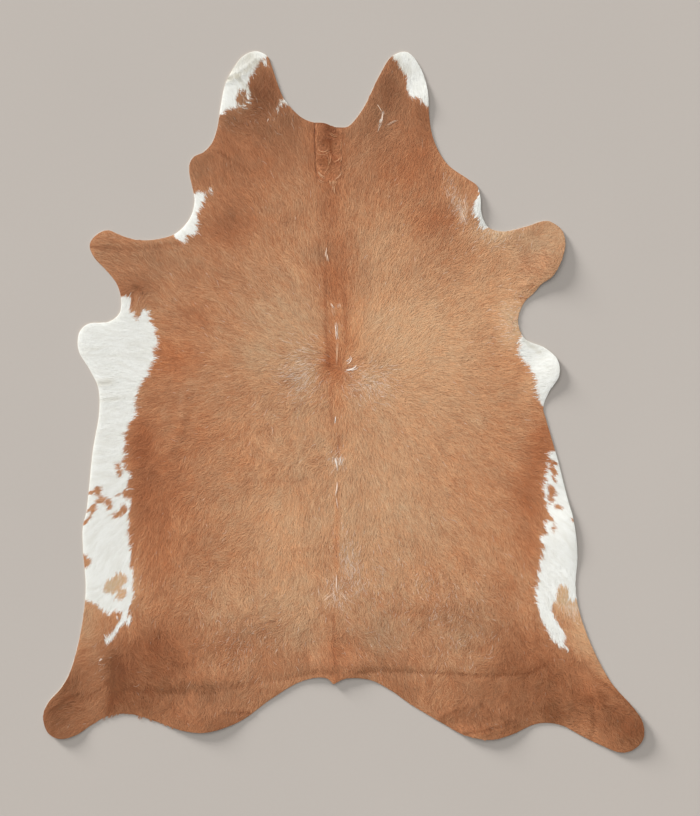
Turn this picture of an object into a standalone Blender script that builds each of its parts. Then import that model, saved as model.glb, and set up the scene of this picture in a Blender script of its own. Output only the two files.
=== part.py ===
"""A cowhide rug: one whole hide lying hair side up, with a small insert sewn in at the poll.

The origin is on the floor under the middle of the rug. +Y runs to the head, +X to the right and +Z up.
Lengths in the tables are millimetres; the meshes are made in metres.
"""

from typing import NamedTuple

import bpy
import numpy as np
from mathutils import Vector
from mathutils.geometry import delaunay_2d_cdt

MM = 0.001

# Driving dimensions
LEATHER = 2.5          # tanned skin
COAT = 3.0             # short hair lying on it
CUT_EDGE_COAT = 0.8    # hair left standing over the cut edge
COAT_SHOULDER = 9.0    # how fast the coat gains its depth behind the cut edge
SEAM_GAP = 0.3         # between the insert and its notch

INSERT_X = -47.0       # middle of the insert
INSERT_TOP_LEFT = 850.0    # where its sides meet the poll
INSERT_TOP_RIGHT = 835.0
INSERT_SHOULDER = 716.0    # where its sides turn into the round end
INSERT_END = 668.0     # lowest point of the round end
INSERT_HALF_TOP = 43.0
INSERT_HALF_SHOULDER = 39.0
INSERT_ROUNDNESS = 2.6     # 2 is an ellipse, more is squarer

RIM_STEP = 12.0        # spacing of points along the cut edge
RING_INSET = 10.0      # a row of points this far behind the cut edge
RING_SKIP = 2          # has one point for so many on the edge
FIELD_STEP = 60.0      # spacing over the open field of the hide
RELIEF_STEP = 32.0     # spacing where the hide is lifted
CREASE_STEP = 26.0     # spacing along a crease
CREASE_ROWS = (0, -0.3, 0.3, -0.66, 0.66)    # rows beside it, as shares of its reach
INSERT_STEP = 7.0      # spacing on the insert
SPAN_POINTS = 24       # points worked out between two landmarks
SHARP_EDGE = 35        # degrees between faces that stay a hard edge


class Landmark(NamedTuple):
    """A point of the cut edge."""
    x: float
    y: float


class Crease(NamedTuple):
    """A soft trough between two low swells, along a few points."""
    points: tuple
    swell: float
    reach: float


class Lift(NamedTuple):
    """A place on the cut edge where the hide curls off the floor."""
    x: float
    y: float
    reach: float
    height: float


# The cut edge, from the left side of the insert round the left flank to its right side.
CUT_EDGE = {
    "left_cheek": [
        (-90, 850), (-112, 857), (-138, 873), (-180, 920), (-200, 965), (-220, 1025), (-232, 1052),
        (-267, 1068), (-307, 1053), (-340, 1010), (-362, 965), (-376, 897), (-386, 833), (-402, 788)],
    "left_neck_bay": [
        (-429, 759), (-454, 748), (-469, 728), (-471, 696), (-460, 645), (-455, 610), (-469, 559),
        (-511, 513), (-560, 496)],
    "left_foreleg": [
        (-627, 492), (-682, 507), (-719, 522), (-755, 507), (-775, 477), (-762, 440), (-722, 397),
        (-691, 355), (-679, 309)],
    "left_elbow": [
        (-684, 269), (-716, 243), (-780, 236), (-806, 211), (-809, 156), (-774, 95), (-749, 41),
        (-746, -33)],
    "left_flank": [
        (-765, -149), (-779, -286), (-785, -338), (-796, -386), (-795, -454), (-787, -575),
        (-804, -713), (-835, -826)],
    "left_hind_leg": [
        (-862, -874), (-902, -920), (-917, -963), (-900, -1012), (-865, -1029), (-816, -1018),
        (-768, -987), (-719, -960), (-652, -954)],
    "left_rump": [
        (-560, -981), (-493, -1004), (-420, -1010), (-316, -976), (-225, -911), (-133, -856),
        (-72, -842)],
    "tail": [(-45, -848), (-31, -862), (-14, -853), (10, -845)],
    "right_rump": [
        (80, -850), (141, -880), (202, -923), (294, -978), (370, -1018), (446, -1032), (507, -1018),
        (593, -983)],
    "right_hind_leg": [
        (660, -987), (721, -1018), (782, -1048), (846, -1071), (885, -1060), (913, -1027),
        (910, -975), (879, -929), (815, -856)],
    "right_flank": [
        (745, -719), (713, -615), (707, -560), (713, -484), (710, -423), (699, -353), (684, -301),
        (650, -167), (617, -54)],
    "right_elbow": [
        (609, -20), (626, 28), (657, 80), (652, 126), (614, 163), (553, 191), (532, 242)],
    "right_foreleg": [
        (550, 300), (580, 330), (602, 356), (638, 382), (672, 455), (675, 492), (663, 525),
        (620, 550), (553, 532), (483, 518)],
    "right_neck_bay": [(440, 532), (420, 574), (417, 620), (407, 657), (379, 678), (315, 725), (275, 797)],
    "right_cheek": [
        (260, 879), (257, 943), (233, 1020), (193, 1065), (147, 1052), (111, 998), (56, 888),
        (13, 838), (-5, 835)],
}

# Top edge of the insert, between its right and left corners.
POLL_EDGE = [(-20, 836), (-33, 838), (-50, 846), (-66, 850)]

CREASES = {
    "left_rump_fold": Crease(
        ((-661, -880), (-545, -884), (-316, -868), (-188, -847), (-84, -829), (-17, -829)), 4.0, 75.0),
    "right_rump_fold": Crease(
        ((44, -829), (95, -823), (294, -829), (461, -838), (577, -823), (614, -807)), 4.0, 75.0),
    "right_hind_fold": Crease(((757, -911), (766, -978), (751, -1048)), 4.5, 50.0),
    "left_foreleg_fold": Crease(((-774, 472), (-652, 464), (-499, 482)), 3.0, 50.0),
    "left_back_fold": Crease(((-316, -243), (-118, -246)), 1.6, 60.0),
    "right_back_fold": Crease(((141, -646), (294, -644)), 1.6, 60.0),
}

LIFTS = {
    "right_foreleg": Lift(660, 407, 150, 16.0),
    "right_elbow": Lift(662, 83, 110, 10.0),
    "right_flank": Lift(712, -393, 140, 6.0),
    "right_hind_foot": Lift(912, -1018, 150, 12.0),
    "right_rump_lobe": Lift(446, -1035, 150, 10.0),
    "tail": Lift(-20, -856, 130, 7.0),
    "left_rump_lobe": Lift(-423, -1013, 150, 10.0),
    "left_hind_foot": Lift(-867, -1030, 110, 9.0),
    "right_neck": Lift(419, 599, 80, 8.0),
    "right_cheek": Lift(262, 919, 80, 6.0),
}


def clear_scene():
    for ob in list(bpy.data.objects):
        bpy.data.objects.remove(ob, do_unlink=True)


# ---------------------------------------------------------------- outlines

def smooth_path(landmarks, per_span):
    """An open centripetal Catmull-Rom curve through the landmarks, with its end tangents mirrored."""
    p = np.array(landmarks, float)
    p = np.vstack([2 * p[0] - p[1], p, 2 * p[-1] - p[-2]])
    p0, p1, p2, p3 = p[:-3], p[1:-2], p[2:-1], p[3:]

    def knot(a, b):
        return np.sqrt(np.linalg.norm(b - a, axis=1))[:, None, None]

    t1 = knot(p0, p1)
    t2 = t1 + knot(p1, p2)
    t3 = t2 + knot(p2, p3)
    t = t1 + (t2 - t1) * np.linspace(0, 1, per_span, endpoint=False)[None, :, None]
    q0, q1, q2, q3 = (q[:, None, :] for q in (p0, p1, p2, p3))
    a1 = ((t1 - t) * q0 + t * q1) / t1
    a2 = ((t2 - t) * q1 + (t - t1) * q2) / (t2 - t1)
    a3 = ((t3 - t) * q2 + (t - t2) * q3) / (t3 - t2)
    b1 = ((t2 - t) * a1 + t * a2) / t2
    b2 = ((t3 - t) * a2 + (t - t1) * a3) / (t3 - t1)
    curve = ((t2 - t) * b1 + (t - t1) * b2) / (t2 - t1)
    return np.vstack([curve.reshape(-1, 2), p[-2]])


def evenly(path, step):
    """The same path with points a step apart, both ends kept."""
    run = np.concatenate([[0], np.cumsum(np.linalg.norm(np.diff(path, axis=0), axis=1))])
    at = np.linspace(0, run[-1], max(2, round(run[-1] / step) + 1))
    return np.stack([np.interp(at, run, path[:, k]) for k in (0, 1)], 1)


def sideways(path, offset, closed=False):
    """A path moved to its left by an offset."""
    if closed:
        run = np.roll(path, -1, 0) - np.roll(path, 1, 0)
    else:
        run = np.gradient(path, axis=0)
    left = np.stack([-run[:, 1], run[:, 0]], 1) / np.linalg.norm(run, axis=1)[:, None]
    return path + offset * left


def insert_side():
    """The insert's sewn side: down its left, round its end and up its right."""
    corner = np.linspace(np.pi, 2 * np.pi, 60)
    power = 2 / INSERT_ROUNDNESS
    x = INSERT_X + INSERT_HALF_SHOULDER * np.sign(np.cos(corner)) * np.abs(np.cos(corner)) ** power
    y = INSERT_SHOULDER - (INSERT_SHOULDER - INSERT_END) * np.abs(np.sin(corner)) ** power
    left_top = (INSERT_X - INSERT_HALF_TOP, INSERT_TOP_LEFT)
    right_top = (INSERT_X + INSERT_HALF_TOP, INSERT_TOP_RIGHT)
    return evenly(np.vstack([[left_top], np.stack([x, y], 1), [right_top]]), INSERT_STEP)


def hide_edges():
    """The hide's natural cut edge, and the notch for the insert that closes it."""
    notch = sideways(insert_side(), -SEAM_GAP)[::-1]
    landmarks = [Landmark(*row) for rows in CUT_EDGE.values() for row in rows]
    landmarks[0] = Landmark(*notch[-1])
    landmarks[-1] = Landmark(*notch[0])
    return evenly(smooth_path(landmarks, SPAN_POINTS), RIM_STEP), notch


def insert_edges():
    """The insert's sewn side, and its edge at the poll that closes it."""
    side = insert_side()
    poll = [side[-1], *POLL_EDGE, side[0]]
    return side, evenly(smooth_path(poll, SPAN_POINTS), INSERT_STEP)


def distance_to(points, path):
    """Distance from each point to the nearest place on a path of straight runs."""
    a, b = path[:-1], path[1:]
    run = b - a
    square = np.maximum((run ** 2).sum(1), 1e-9)
    near = np.full(len(points), np.inf)
    for start, along, size in zip(a, run, square):
        t = np.clip(((points - start) @ along) / size, 0, 1)
        near = np.minimum(near, np.linalg.norm(points - start - t[:, None] * along, axis=1))
    return near


def inside(points, loop):
    """Whether each point is inside a closed loop, by counting the edges on its right."""
    x, y = points[:, 0], points[:, 1]
    count = np.zeros(len(points), int)
    for (x0, y0), (x1, y1) in zip(loop, np.roll(loop, -1, 0)):
        if y0 == y1:
            continue
        crosses = (y0 > y) != (y1 > y)
        count += crosses & (x < x0 + (y - y0) * (x1 - x0) / (y1 - y0))
    return count % 2 == 1


# ---------------------------------------------------------------- relief

def lift_at(points):
    """How far the underside stands off the floor: curled edges, and the swells beside each crease."""
    height = np.zeros(len(points))
    for lift in LIFTS.values():
        far = np.linalg.norm(points - (lift.x, lift.y), axis=1) / lift.reach
        height += lift.height * np.clip(1 - far ** 2, 0, None) ** 2
    for crease in CREASES.values():
        far = np.clip(distance_to(points, np.array(crease.points, float)) / crease.reach, 0, 1)
        height += crease.swell * 27 / 4 * far * (1 - far) ** 2
    return height


def in_relief(points):
    """Whether each point is in a curled edge or beside a crease."""
    near = [np.linalg.norm(points - (lift.x, lift.y), axis=1) < lift.reach for lift in LIFTS.values()]
    near += [distance_to(points, np.array(crease.points, float)) < crease.reach
             for crease in CREASES.values()]
    return np.any(near, axis=0)


def depth_at(points, cut_edge):
    """Thickness of skin and coat, which thins towards the natural cut edge."""
    far = distance_to(points, cut_edge)
    return LEATHER + CUT_EDGE_COAT + (COAT - CUT_EDGE_COAT) * (1 - np.exp(-far / COAT_SHOULDER))


# ---------------------------------------------------------------- points inside an outline

def staggered(loop, step):
    """A staggered grid of points over a loop's box."""
    low, high = loop.min(0), loop.max(0)
    x = np.arange(low[0], high[0], step)
    y = np.arange(low[1], high[1], step * np.sqrt(3) / 2)
    grid = np.stack(np.meshgrid(x, y), -1)
    grid[1::2, :, 0] += step / 2
    return grid.reshape(-1, 2)


def gathered(parts, loop, edge_clear):
    """Joins sets of points, leaving out those outside the loop, by its edge or crowding an earlier set."""
    closed = np.vstack([loop, loop[:1]])
    kept = np.empty((0, 2))
    for part, room in parts:
        part = part[inside(part, loop) & (distance_to(part, closed) > edge_clear)]
        if len(kept):
            part = part[np.linalg.norm(part[:, None] - kept, axis=2).min(1) > room]
        kept = np.vstack([kept, part])
    return kept


def hide_points(loop):
    """Points on the hair side: a row behind the edge, rows along creases, and staggered grids."""
    ring = sideways(loop, RING_INSET, closed=True)[::RING_SKIP]
    ring = ring[np.linalg.norm(ring - np.roll(ring, 1, 0), axis=1) > RIM_STEP]
    parts = [(ring, 0)]
    for crease in CREASES.values():
        middle = evenly(smooth_path(crease.points, SPAN_POINTS), CREASE_STEP)
        parts += [(sideways(middle, share * crease.reach), CREASE_STEP / 3) for share in CREASE_ROWS]
    fine = staggered(loop, RELIEF_STEP)
    parts.append((fine[in_relief(fine)], RELIEF_STEP / 2))
    parts.append((staggered(loop, FIELD_STEP), FIELD_STEP / 3))
    return gathered(parts, loop, 0.85 * RING_INSET)


def underside_points(loop, hair_side):
    """Points on the underside: those of the hair side in relief, and a wide grid where it lies flat."""
    wide = staggered(loop, 2 * FIELD_STEP)
    return gathered([(hair_side[in_relief(hair_side)], 0), (wide, FIELD_STEP)], loop, RING_INSET / 2)


# ---------------------------------------------------------------- solids

def layer(loop, points):
    """Points and triangles of a flat layer bounded by a loop."""
    flat = [Vector(p) for p in np.vstack([loop, points])]
    made = delaunay_2d_cdt(flat, [], [list(range(len(loop)))], 1, 1e-7)
    return np.array([tuple(p) for p in made[0]]), made[2]


def sheet_solid(name, loop, hair_side, underside, cut_edge, centre, material):
    """A closed sheet: hair side and underside over the same loop, joined by a wall round it."""
    top_xy, top_faces = layer(loop, hair_side)
    low_xy, low_faces = layer(loop, underside)
    top = np.column_stack([top_xy - centre, lift_at(top_xy) + depth_at(top_xy, cut_edge)])
    low = np.column_stack([low_xy - centre, lift_at(low_xy)])
    count, first_low = len(loop), len(top)
    faces = [tuple(face) for face in top_faces]
    faces += [tuple(first_low + corner for corner in reversed(face)) for face in low_faces]
    for here in range(count):
        after = (here + 1) % count
        faces += [(first_low + here, first_low + after, after), (first_low + here, after, here)]
    mesh = bpy.data.meshes.new(name)
    mesh.from_pydata(np.vstack([top, low]) * MM, [], faces)
    mesh.shade_smooth()
    mesh.set_sharp_from_angle(angle=np.radians(SHARP_EDGE))
    mesh.materials.append(material)
    ob = bpy.data.objects.new(name, mesh)
    bpy.context.scene.collection.objects.link(ob)


def coat_material(name, colour):
    material = bpy.data.materials.new(name)
    material.use_nodes = True
    shader = material.node_tree.nodes["Principled BSDF"]
    shader.inputs["Base Color"].default_value = (*colour, 1)
    shader.inputs["Roughness"].default_value = 0.75
    shader.inputs["Metallic"].default_value = 0.0
    return material


def make_hide(centre):
    edge, notch = hide_edges()
    loop = np.vstack([edge[:-1], notch[:-1]])
    hair_side = hide_points(loop)
    underside = underside_points(loop, hair_side)
    tan = coat_material("tan_coat", (0.43, 0.18, 0.08))
    sheet_solid("hide", loop, hair_side, underside, edge, centre, tan)


def make_insert(centre):
    side, top = insert_edges()
    loop = np.vstack([side[:-1], top[:-1]])
    grid = gathered([(staggered(loop, 2 * INSERT_STEP), 0)], loop, INSERT_STEP)
    red = coat_material("crown_coat", (0.38, 0.15, 0.06))
    sheet_solid("crown_insert", loop, grid, grid[:0], top, centre, red)


def main():
    clear_scene()
    edge, _ = hide_edges()
    centre = (edge.min(0) + edge.max(0)) / 2
    make_hide(centre)
    make_insert(centre)


if __name__ == "__main__":
    main()
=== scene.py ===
"""A cowhide rug in its coat, laid out as a Blender add-on and run as a script.

The solids of the rug are loaded as a fixed frame, and the outline of every piece is read from them.
Lengths are millimetres until a mesh is made, and meshes are in metres. A place on the floor is one complex
number, x + iy, and so is a heading. The origin is under the middle of the rug, and +Y runs to the head.
"""

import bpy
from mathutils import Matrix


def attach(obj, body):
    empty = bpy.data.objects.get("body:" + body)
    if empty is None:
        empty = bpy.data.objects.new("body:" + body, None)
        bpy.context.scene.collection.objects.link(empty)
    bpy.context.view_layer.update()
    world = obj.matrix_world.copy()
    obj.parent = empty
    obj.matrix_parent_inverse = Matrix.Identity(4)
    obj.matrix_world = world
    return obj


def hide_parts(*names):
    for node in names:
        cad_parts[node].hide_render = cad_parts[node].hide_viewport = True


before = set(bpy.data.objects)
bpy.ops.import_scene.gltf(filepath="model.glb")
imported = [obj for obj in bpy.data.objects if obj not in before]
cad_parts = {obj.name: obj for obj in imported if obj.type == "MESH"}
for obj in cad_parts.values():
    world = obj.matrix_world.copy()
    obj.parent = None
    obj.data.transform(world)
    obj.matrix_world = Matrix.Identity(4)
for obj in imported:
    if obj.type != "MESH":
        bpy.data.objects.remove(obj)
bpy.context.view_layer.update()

from functools import cache
from types import SimpleNamespace
from typing import NamedTuple

import bpy
import numpy as np
from mathutils import Vector
from mathutils.geometry import delaunay_2d_cdt

bl_info = {
    "name": "Cowhide Rug",
    "version": (1, 0, 0),
    "blender": (4, 5, 0),
    "location": "View3D > Sidebar > Cowhide",
    "description": "Lays a cowhide with its markings, its combed coat and a sewn crown insert",
    "category": "Add Mesh",
}

MM = 0.001

# Sizes that the solids have too
LEATHER = 2.5
COAT = 3.0
CUT_EDGE_COAT = 0.8
COAT_SHOULDER = 9.0
SOURCE_MIDDLE = complex(-0.72, -1.51)    # middle of the outline in the tables of lifts and folds

# The skin
EDGE_STEP = 4.0        # spacing of points along a cut edge
EDGE_LEAN = 0.5        # how far the cut edge shows beside the coat
LEAN_TAPER = 4         # points over which the lean starts and ends at the seam
UNDERCOAT = 0.8        # dense hair at the roots, part of the skin's mesh
HIDE_STEP = 10.0       # spacing of points under the coat
CROWN_STEP = 5.0
UNDERSIDE_STEP = 48.0
SKIVE = 0.9            # leather pared away under the seam
SKIVE_WIDTH = 5.0
RING_ROOM = 0.7        # least inset of the ring of points inside the edge, in steps of the edge
FIELD_ROOM = 1.6       # and of the field of points inside that ring
SHARP_EDGE = 40        # degrees between two faces above which their edge stays sharp

# Reading the solids
UPWARD = 0.3           # a face is an upper one where its normal rises by more than this share
SEWN_GAP = 1.8         # an edge nearer than this to the other piece is sewn to it

# The maps
MAP_STEP = 3.0
MAP_MARGIN = 24.0
INSET_REACH = 60       # how far from an edge its inset is worked out
BORDER_REACH = 40      # the same for the white's borders and for the shade of folds
FOLD_SHARE = 0.25      # share of a fold's height in the solids that the skin and the coat keep
WHORL = complex(-4, 91)    # the hair lies away from here
STROKE_GAIN = 2.6      # pull of a stroke, against the heading away from the whorl
CALM_RUFFLE = 0.18     # ruffle of the hair where no row of the table adds to it
BASE_TONE = 0.65
TONE_PER_LIGHTNESS = 1 / 32    # the tables give differences in perceived lightness
STREAK_TONE = 0.03     # spread of the fine streaks along the hair
BAND_TONE = 0.015      # spread of the wide bands along the hair
RARE_PALE = 0.002      # share of pale hairs everywhere
PALE_WHITE = 0.28      # how white a pale hair is

# The coat
COAT_PIECES = ("coat_head", "coat_shoulder", "coat_back", "coat_belly", "coat_rump")
EDGE_LENGTH = 0.7      # length of a lock at the cut edge, as a share of a whole one
LENGTH_GAIN = 0.3      # what it gains further in
GAIN_REACH = 60        # and over which distance
LENGTH_SPREAD = (0.7, 1.2)
CALM_TURN = 6          # spread in degrees of a lock's turn out of the lay, in calm hair
RUFFLED_TURN = 15      # and what a ruffle adds to it
ASKEW_SHARE = 0.15     # share of the locks that lie more askew
ASKEW = 2.2            # and how much more
LEVEL_SPREAD = (0.56, 0.72)           # height of a lock over the leather, as a share of the coat's depth
LEVEL_CHANGE = (-0.08, 0.03, 0.08)    # added at its root, middle and tip
LOCK_SHAPE = (0.8, 1.0, 0.0)          # widths there, as shares of its width
WIDTH_SPREAD = (0.7, 1.3)
COLOUR_PLACE = 0.6     # place along a lock that its colour is read at
WHITE_JITTER = 1.5     # how far its colour may stray over the white's border
REDNESS_SPREAD = 0.32
ROOT_ROOM = 0.3        # roots stay this far inside the top of the cut edge
TIP_OVERHANG = 0.8     # tips may reach this far past it
TRIMS = 6              # times that a lock is shortened while it hangs over an edge
TRIM = 0.62            # share of its length that it keeps each time
CROWN_LEFT = -72.0     # left of this the insert's seam is left bare
CROWN_ROOM = 0.5       # roots of the hide's hair stay this far from the insert
SEAM_ROOM = 0.3        # tips end this far from the bare seam
CROWN_OVERLAP = 3.0    # and lie this far over the insert elsewhere
CURL_SPACING = 2.7     # distance between the roots of the insert's locks
CURL_WAVE = 42.0       # length of a wave of its hair between the whorls

# The thread
THREAD_RADIUS = 0.35
THREAD_SIDES = 6
THREAD_ROOM = 0.05     # gap under the thread
ZIGZAG_STEP = 2.8
ZIGZAG_SWING = 2.0

# Leather: clouds in a metre, and height of the nap in metres
SUEDE = (18.0, 0.0004)
THREAD_PLY = (300.0, 0.0001)
FLOOR_GRAIN = (1.5, 0.0002)

# The stage, in metres
FLOOR_DROP = 0.0003
CAMERA_PLACE = (0.020, -0.019)    # over the middle of the picture


class Patch(NamedTuple):
    """An oval area of the coat: difference in lightness and redness, and share of pale hairs."""
    x: float
    y: float
    half_width: float
    half_height: float
    lightness: float
    redness: float = 0
    pale: float = 0
    turn: float = 0


class Spot(NamedTuple):
    """A small oval marking."""
    x: float
    y: float
    half_width: float
    half_height: float
    turn: float = 0


class Stroke(NamedTuple):
    """The heading of the hair round a place, in degrees, 90 towards the head."""
    x: float
    y: float
    heading: float
    reach: float


class Whorl(NamedTuple):
    """A place that the insert's hair runs round, one way or the other."""
    x: float
    y: float
    reach: float
    way: float


class Ruffle(NamedTuple):
    """A place where the hair lies in swirls."""
    x: float
    y: float
    reach: float
    amount: float


class Fray(NamedTuple):
    """A place on the cut edge where tips may reach further over it."""
    x: float
    y: float
    reach: float
    overhang: float


class Fold(NamedTuple):
    """A soft trough between two low swells, with the shade that gathers in it."""
    points: tuple
    swell: float
    reach: float
    shade: float
    width: float = 6.0


class Lift(NamedTuple):
    """A place on the cut edge where the hide curls off the floor."""
    x: float
    y: float
    reach: float
    height: float


class Tuft(NamedTuple):
    """A few long pale hairs lying together on the coat."""
    x: float
    y: float
    length: float
    heading: float
    bend: float
    hairs: int
    white: float


LIFTS = {
    "right_foreleg": Lift(660, 407, 150, 16.0),
    "right_elbow": Lift(662, 83, 110, 10.0),
    "right_flank": Lift(712, -393, 140, 6.0),
    "right_hind_foot": Lift(912, -1018, 150, 12.0),
    "right_rump_lobe": Lift(446, -1035, 150, 10.0),
    "tail": Lift(-20, -856, 130, 7.0),
    "left_rump_lobe": Lift(-423, -1013, 150, 10.0),
    "left_hind_foot": Lift(-867, -1030, 110, 9.0),
    "right_neck": Lift(419, 599, 80, 8.0),
    "right_cheek": Lift(262, 919, 80, 6.0),
}

FOLDS = {
    "left_rump_fold": Fold(
        ((-661, -880), (-545, -884), (-316, -868), (-188, -847), (-84, -829), (-17, -829)),
        4.0, 75.0, 5, 3.2),
    "right_rump_fold": Fold(
        ((44, -829), (95, -823), (294, -829), (461, -838), (577, -823), (614, -807)),
        4.0, 75.0, 11, 3.6),
    "right_hind_fold": Fold(((757, -911), (766, -978), (751, -1048)), 4.5, 50.0, 6, 4),
    "left_foreleg_fold": Fold(((-774, 472), (-652, 464), (-499, 482)), 3.0, 50.0, 8, 5),
    "left_back_fold": Fold(((-316, -243), (-118, -246)), 1.6, 60.0, 3),
    "right_back_fold": Fold(((141, -646), (294, -644)), 1.6, 60.0, 3),
}

WRINKLES = {
    "left_foreleg_nick": Fold(((-640, 355), (-620, 340)), 0.8, 14.0, 8),
    "neck_wrinkle": Fold(((-378, 762), (-350, 745), (-318, 722)), 0.4, 16.0, 8, 4),
    "left_low": Fold(((-180, -455), (-80, -455)), 0.8, 18.0, 3),
    "left_rump": Fold(((-315, -695), (-210, -670)), 1.0, 24.0, 4),
    "ear_fold": Fold(((-370, 975), (-310, 1003), (-262, 1040)), 1.4, 20.0, 9),
    "ear_fine": Fold(((-320, 990), (-295, 955)), 0.9, 14.0, 8),
    "foreleg_a": Fold(((540, 345), (580, 355)), 1.2, 18.0, 6),
    "foreleg_b": Fold(((535, 325), (565, 305)), 1.0, 16.0, 6),
    "white_band_a": Fold(((-760, 52), (-712, 58)), 0.6, 22.0, 5, 9),
    "white_band_b": Fold(((-750, 5), (-690, 8)), 0.6, 22.0, 3),
    "tail_line": Fold(((-28, -650), (-30, -725), (-22, -810)), 0.5, 18.0, 7, 5),
    "hind_streak_a": Fold(((775, -880), (860, -945)), 0.7, 16.0, 5, 4),
    "hind_streak_b": Fold(((790, -855), (890, -930)), 0.7, 16.0, 5, 4),
    "right_flank_a": Fold(((550, 190), (600, 150)), 0.8, 16.0, 5),
    "left_lobe": Fold(((-365, -950), (-285, -950)), 1.2, 18.0, 11, 4),
    "right_lobe_a": Fold(((300, -965), (345, -945), (385, -930)), 1.4, 20.0, 6),
    "right_lobe_b": Fold(((365, -1015), (445, -1000), (525, -975)), 1.2, 20.0, 6),
    "right_lobe_c": Fold(((415, -915), (425, -930)), 0.8, 14.0, 8),
    "left_flank_line": Fold(((-475, 20), (-490, -70), (-525, -160)), 0.8, 18.0, 3),
    "left_fold_dark": Fold(((-650, -884), (-560, -887), (-490, -888)), 0.0, 14.0, 9, 3),
    "left_fold_low": Fold(((-490, -888), (-420, -889), (-365, -881), (-310, -868)), 0.0, 14.0, 7, 3),
    "spine_left_line": Fold(((-56, 414), (-56, 310), (-53, 188), (-47, 109)), 0.0, 14.0, 8, 4),
    "spine_right_line": Fold(((2, 332), (8, 256), (5, 173)), 0.0, 14.0, 5, 6),
    "spine_low_line": Fold(((-38, 54), (-41, -1), (-35, -62)), 0.0, 14.0, 5, 5),
    "spine_end_line": Fold(((-17, -104), (-14, -171)), 0.0, 14.0, 7, 5),
    "crown_seam": Fold(((-89, 848), (-86, 770), (-84, 700)), 0.0, 14.0, 12, 2.2),
    "left_ear_tip": Fold(((-350, 1005), (-315, 1035), (-285, 1052)), 0.0, 14.0, 6, 20),
    "right_ear_tip": Fold(((150, 1045), (172, 1030), (195, 1008)), 0.0, 14.0, 5, 16),
    "crown_seam_side": Fold(((-82, 845), (-79, 770), (-77, 706)), 0.0, 14.0, -6, 3),
    "hind_streak_c": Fold(((715, -794), (819, -873)), 0.7, 16.0, 5, 4),
    "hind_streak_d": Fold(((758, -836), (886, -934)), 0.7, 16.0, 5, 4),
    "hind_streak_e": Fold(((782, -916), (843, -958)), 0.7, 16.0, 5, 4),
    "left_foot_streak": Fold(((-895, -946), (-858, -916), (-804, -891)), 0.8, 16.0, 8, 5),
    "left_leg_streak": Fold(((-779, -903), (-730, -867), (-694, -836)), 0.8, 16.0, 6, 5),
    "left_leg_line": Fold(((-682, -800), (-679, -879)), 0.6, 14.0, 6),
}

# Borders of the white, each a closed loop that runs on past the cut edge.
WHITE = {
    "left_ear": [
        (-228, 1079), (-230, 1055), (-252, 1046), (-257, 1029), (-273, 1012), (-279, 1000), (-288, 988),
        (-294, 966), (-285, 951), (-285, 930), (-297, 905), (-322, 899), (-358, 890), (-377, 869),
        (-425, 863), (-425, 1079)],
    "right_ear": [
        (148, 1058), (166, 1030), (179, 1012), (188, 997), (197, 975), (191, 954), (200, 939), (215, 927),
        (230, 924), (246, 908), (267, 899), (301, 908), (294, 1091), (136, 1091)],
    "left_neck": [
        (-499, 640), (-462, 631), (-447, 640), (-419, 637), (-425, 612), (-431, 597), (-447, 576),
        (-447, 548), (-441, 521), (-456, 512), (-474, 506), (-486, 490), (-505, 500), (-517, 518),
        (-560, 506)],
    "right_neck": [
        (410, 652), (416, 631), (402, 609), (394, 591), (396, 573), (411, 554), (426, 530), (477, 530),
        (477, 646)],
    "left_flank": [
        (-685, 317), (-654, 320), (-652, 268), (-643, 270), (-630, 250), (-618, 277), (-611, 286),
        (-596, 274), (-584, 234), (-569, 201), (-572, 167), (-581, 152), (-575, 140), (-590, 106),
        (-603, 76), (-622, 51), (-638, 12), (-638, -49), (-653, -68), (-670, -98), (-668, -132),
        (-672, -199), (-655, -216), (-657, -275), (-648, -315), (-656, -336), (-655, -437), (-648, -483),
        (-644, -574), (-645, -605), (-660, -638), (-655, -655), (-643, -661), (-655, -680), (-667, -676),
        (-679, -688), (-692, -708), (-712, -736), (-736, -746), (-715, -716), (-695, -688), (-678, -663),
        (-674, -642), (-700, -638), (-715, -650), (-730, -641), (-743, -629), (-764, -614), (-785, -605),
        (-846, -605), (-865, -117), (-865, 280)],
    "right_upper_flank": [
        (538, 207), (541, 173), (535, 152), (551, 127), (569, 103), (583, 79), (586, 54), (592, 36),
        (598, 12), (603, -16), (706, -1), (706, 219)],
    "right_lower_flank": [
        (660, -110), (643, -147), (630, -162), (632, -178), (624, -190), (622, -213), (625, -238),
        (612, -251), (617, -274), (615, -294), (623, -310), (622, -325), (629, -345), (646, -361),
        (623, -366), (618, -375), (622, -396), (611, -411), (605, -422), (609, -442), (608, -472),
        (602, -508), (597, -538), (589, -579), (590, -611), (601, -672), (631, -716), (660, -751),
        (685, -766), (679, -739), (676, -708), (651, -678), (636, -644), (642, -615), (655, -600),
        (668, -614), (683, -597), (697, -613), (712, -603), (782, -610), (782, -117)],
}

WHITE_SPOTS = [
    Spot(-241, 1034, 5, 7), Spot(-180, 915, 10, 5, -35), Spot(-197, 899, 2.5, 9, -25), Spot(119, 884, 3, 5),
    Spot(115, 862, 3, 11, -12), Spot(-404, 646, 4, 6),
]

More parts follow.
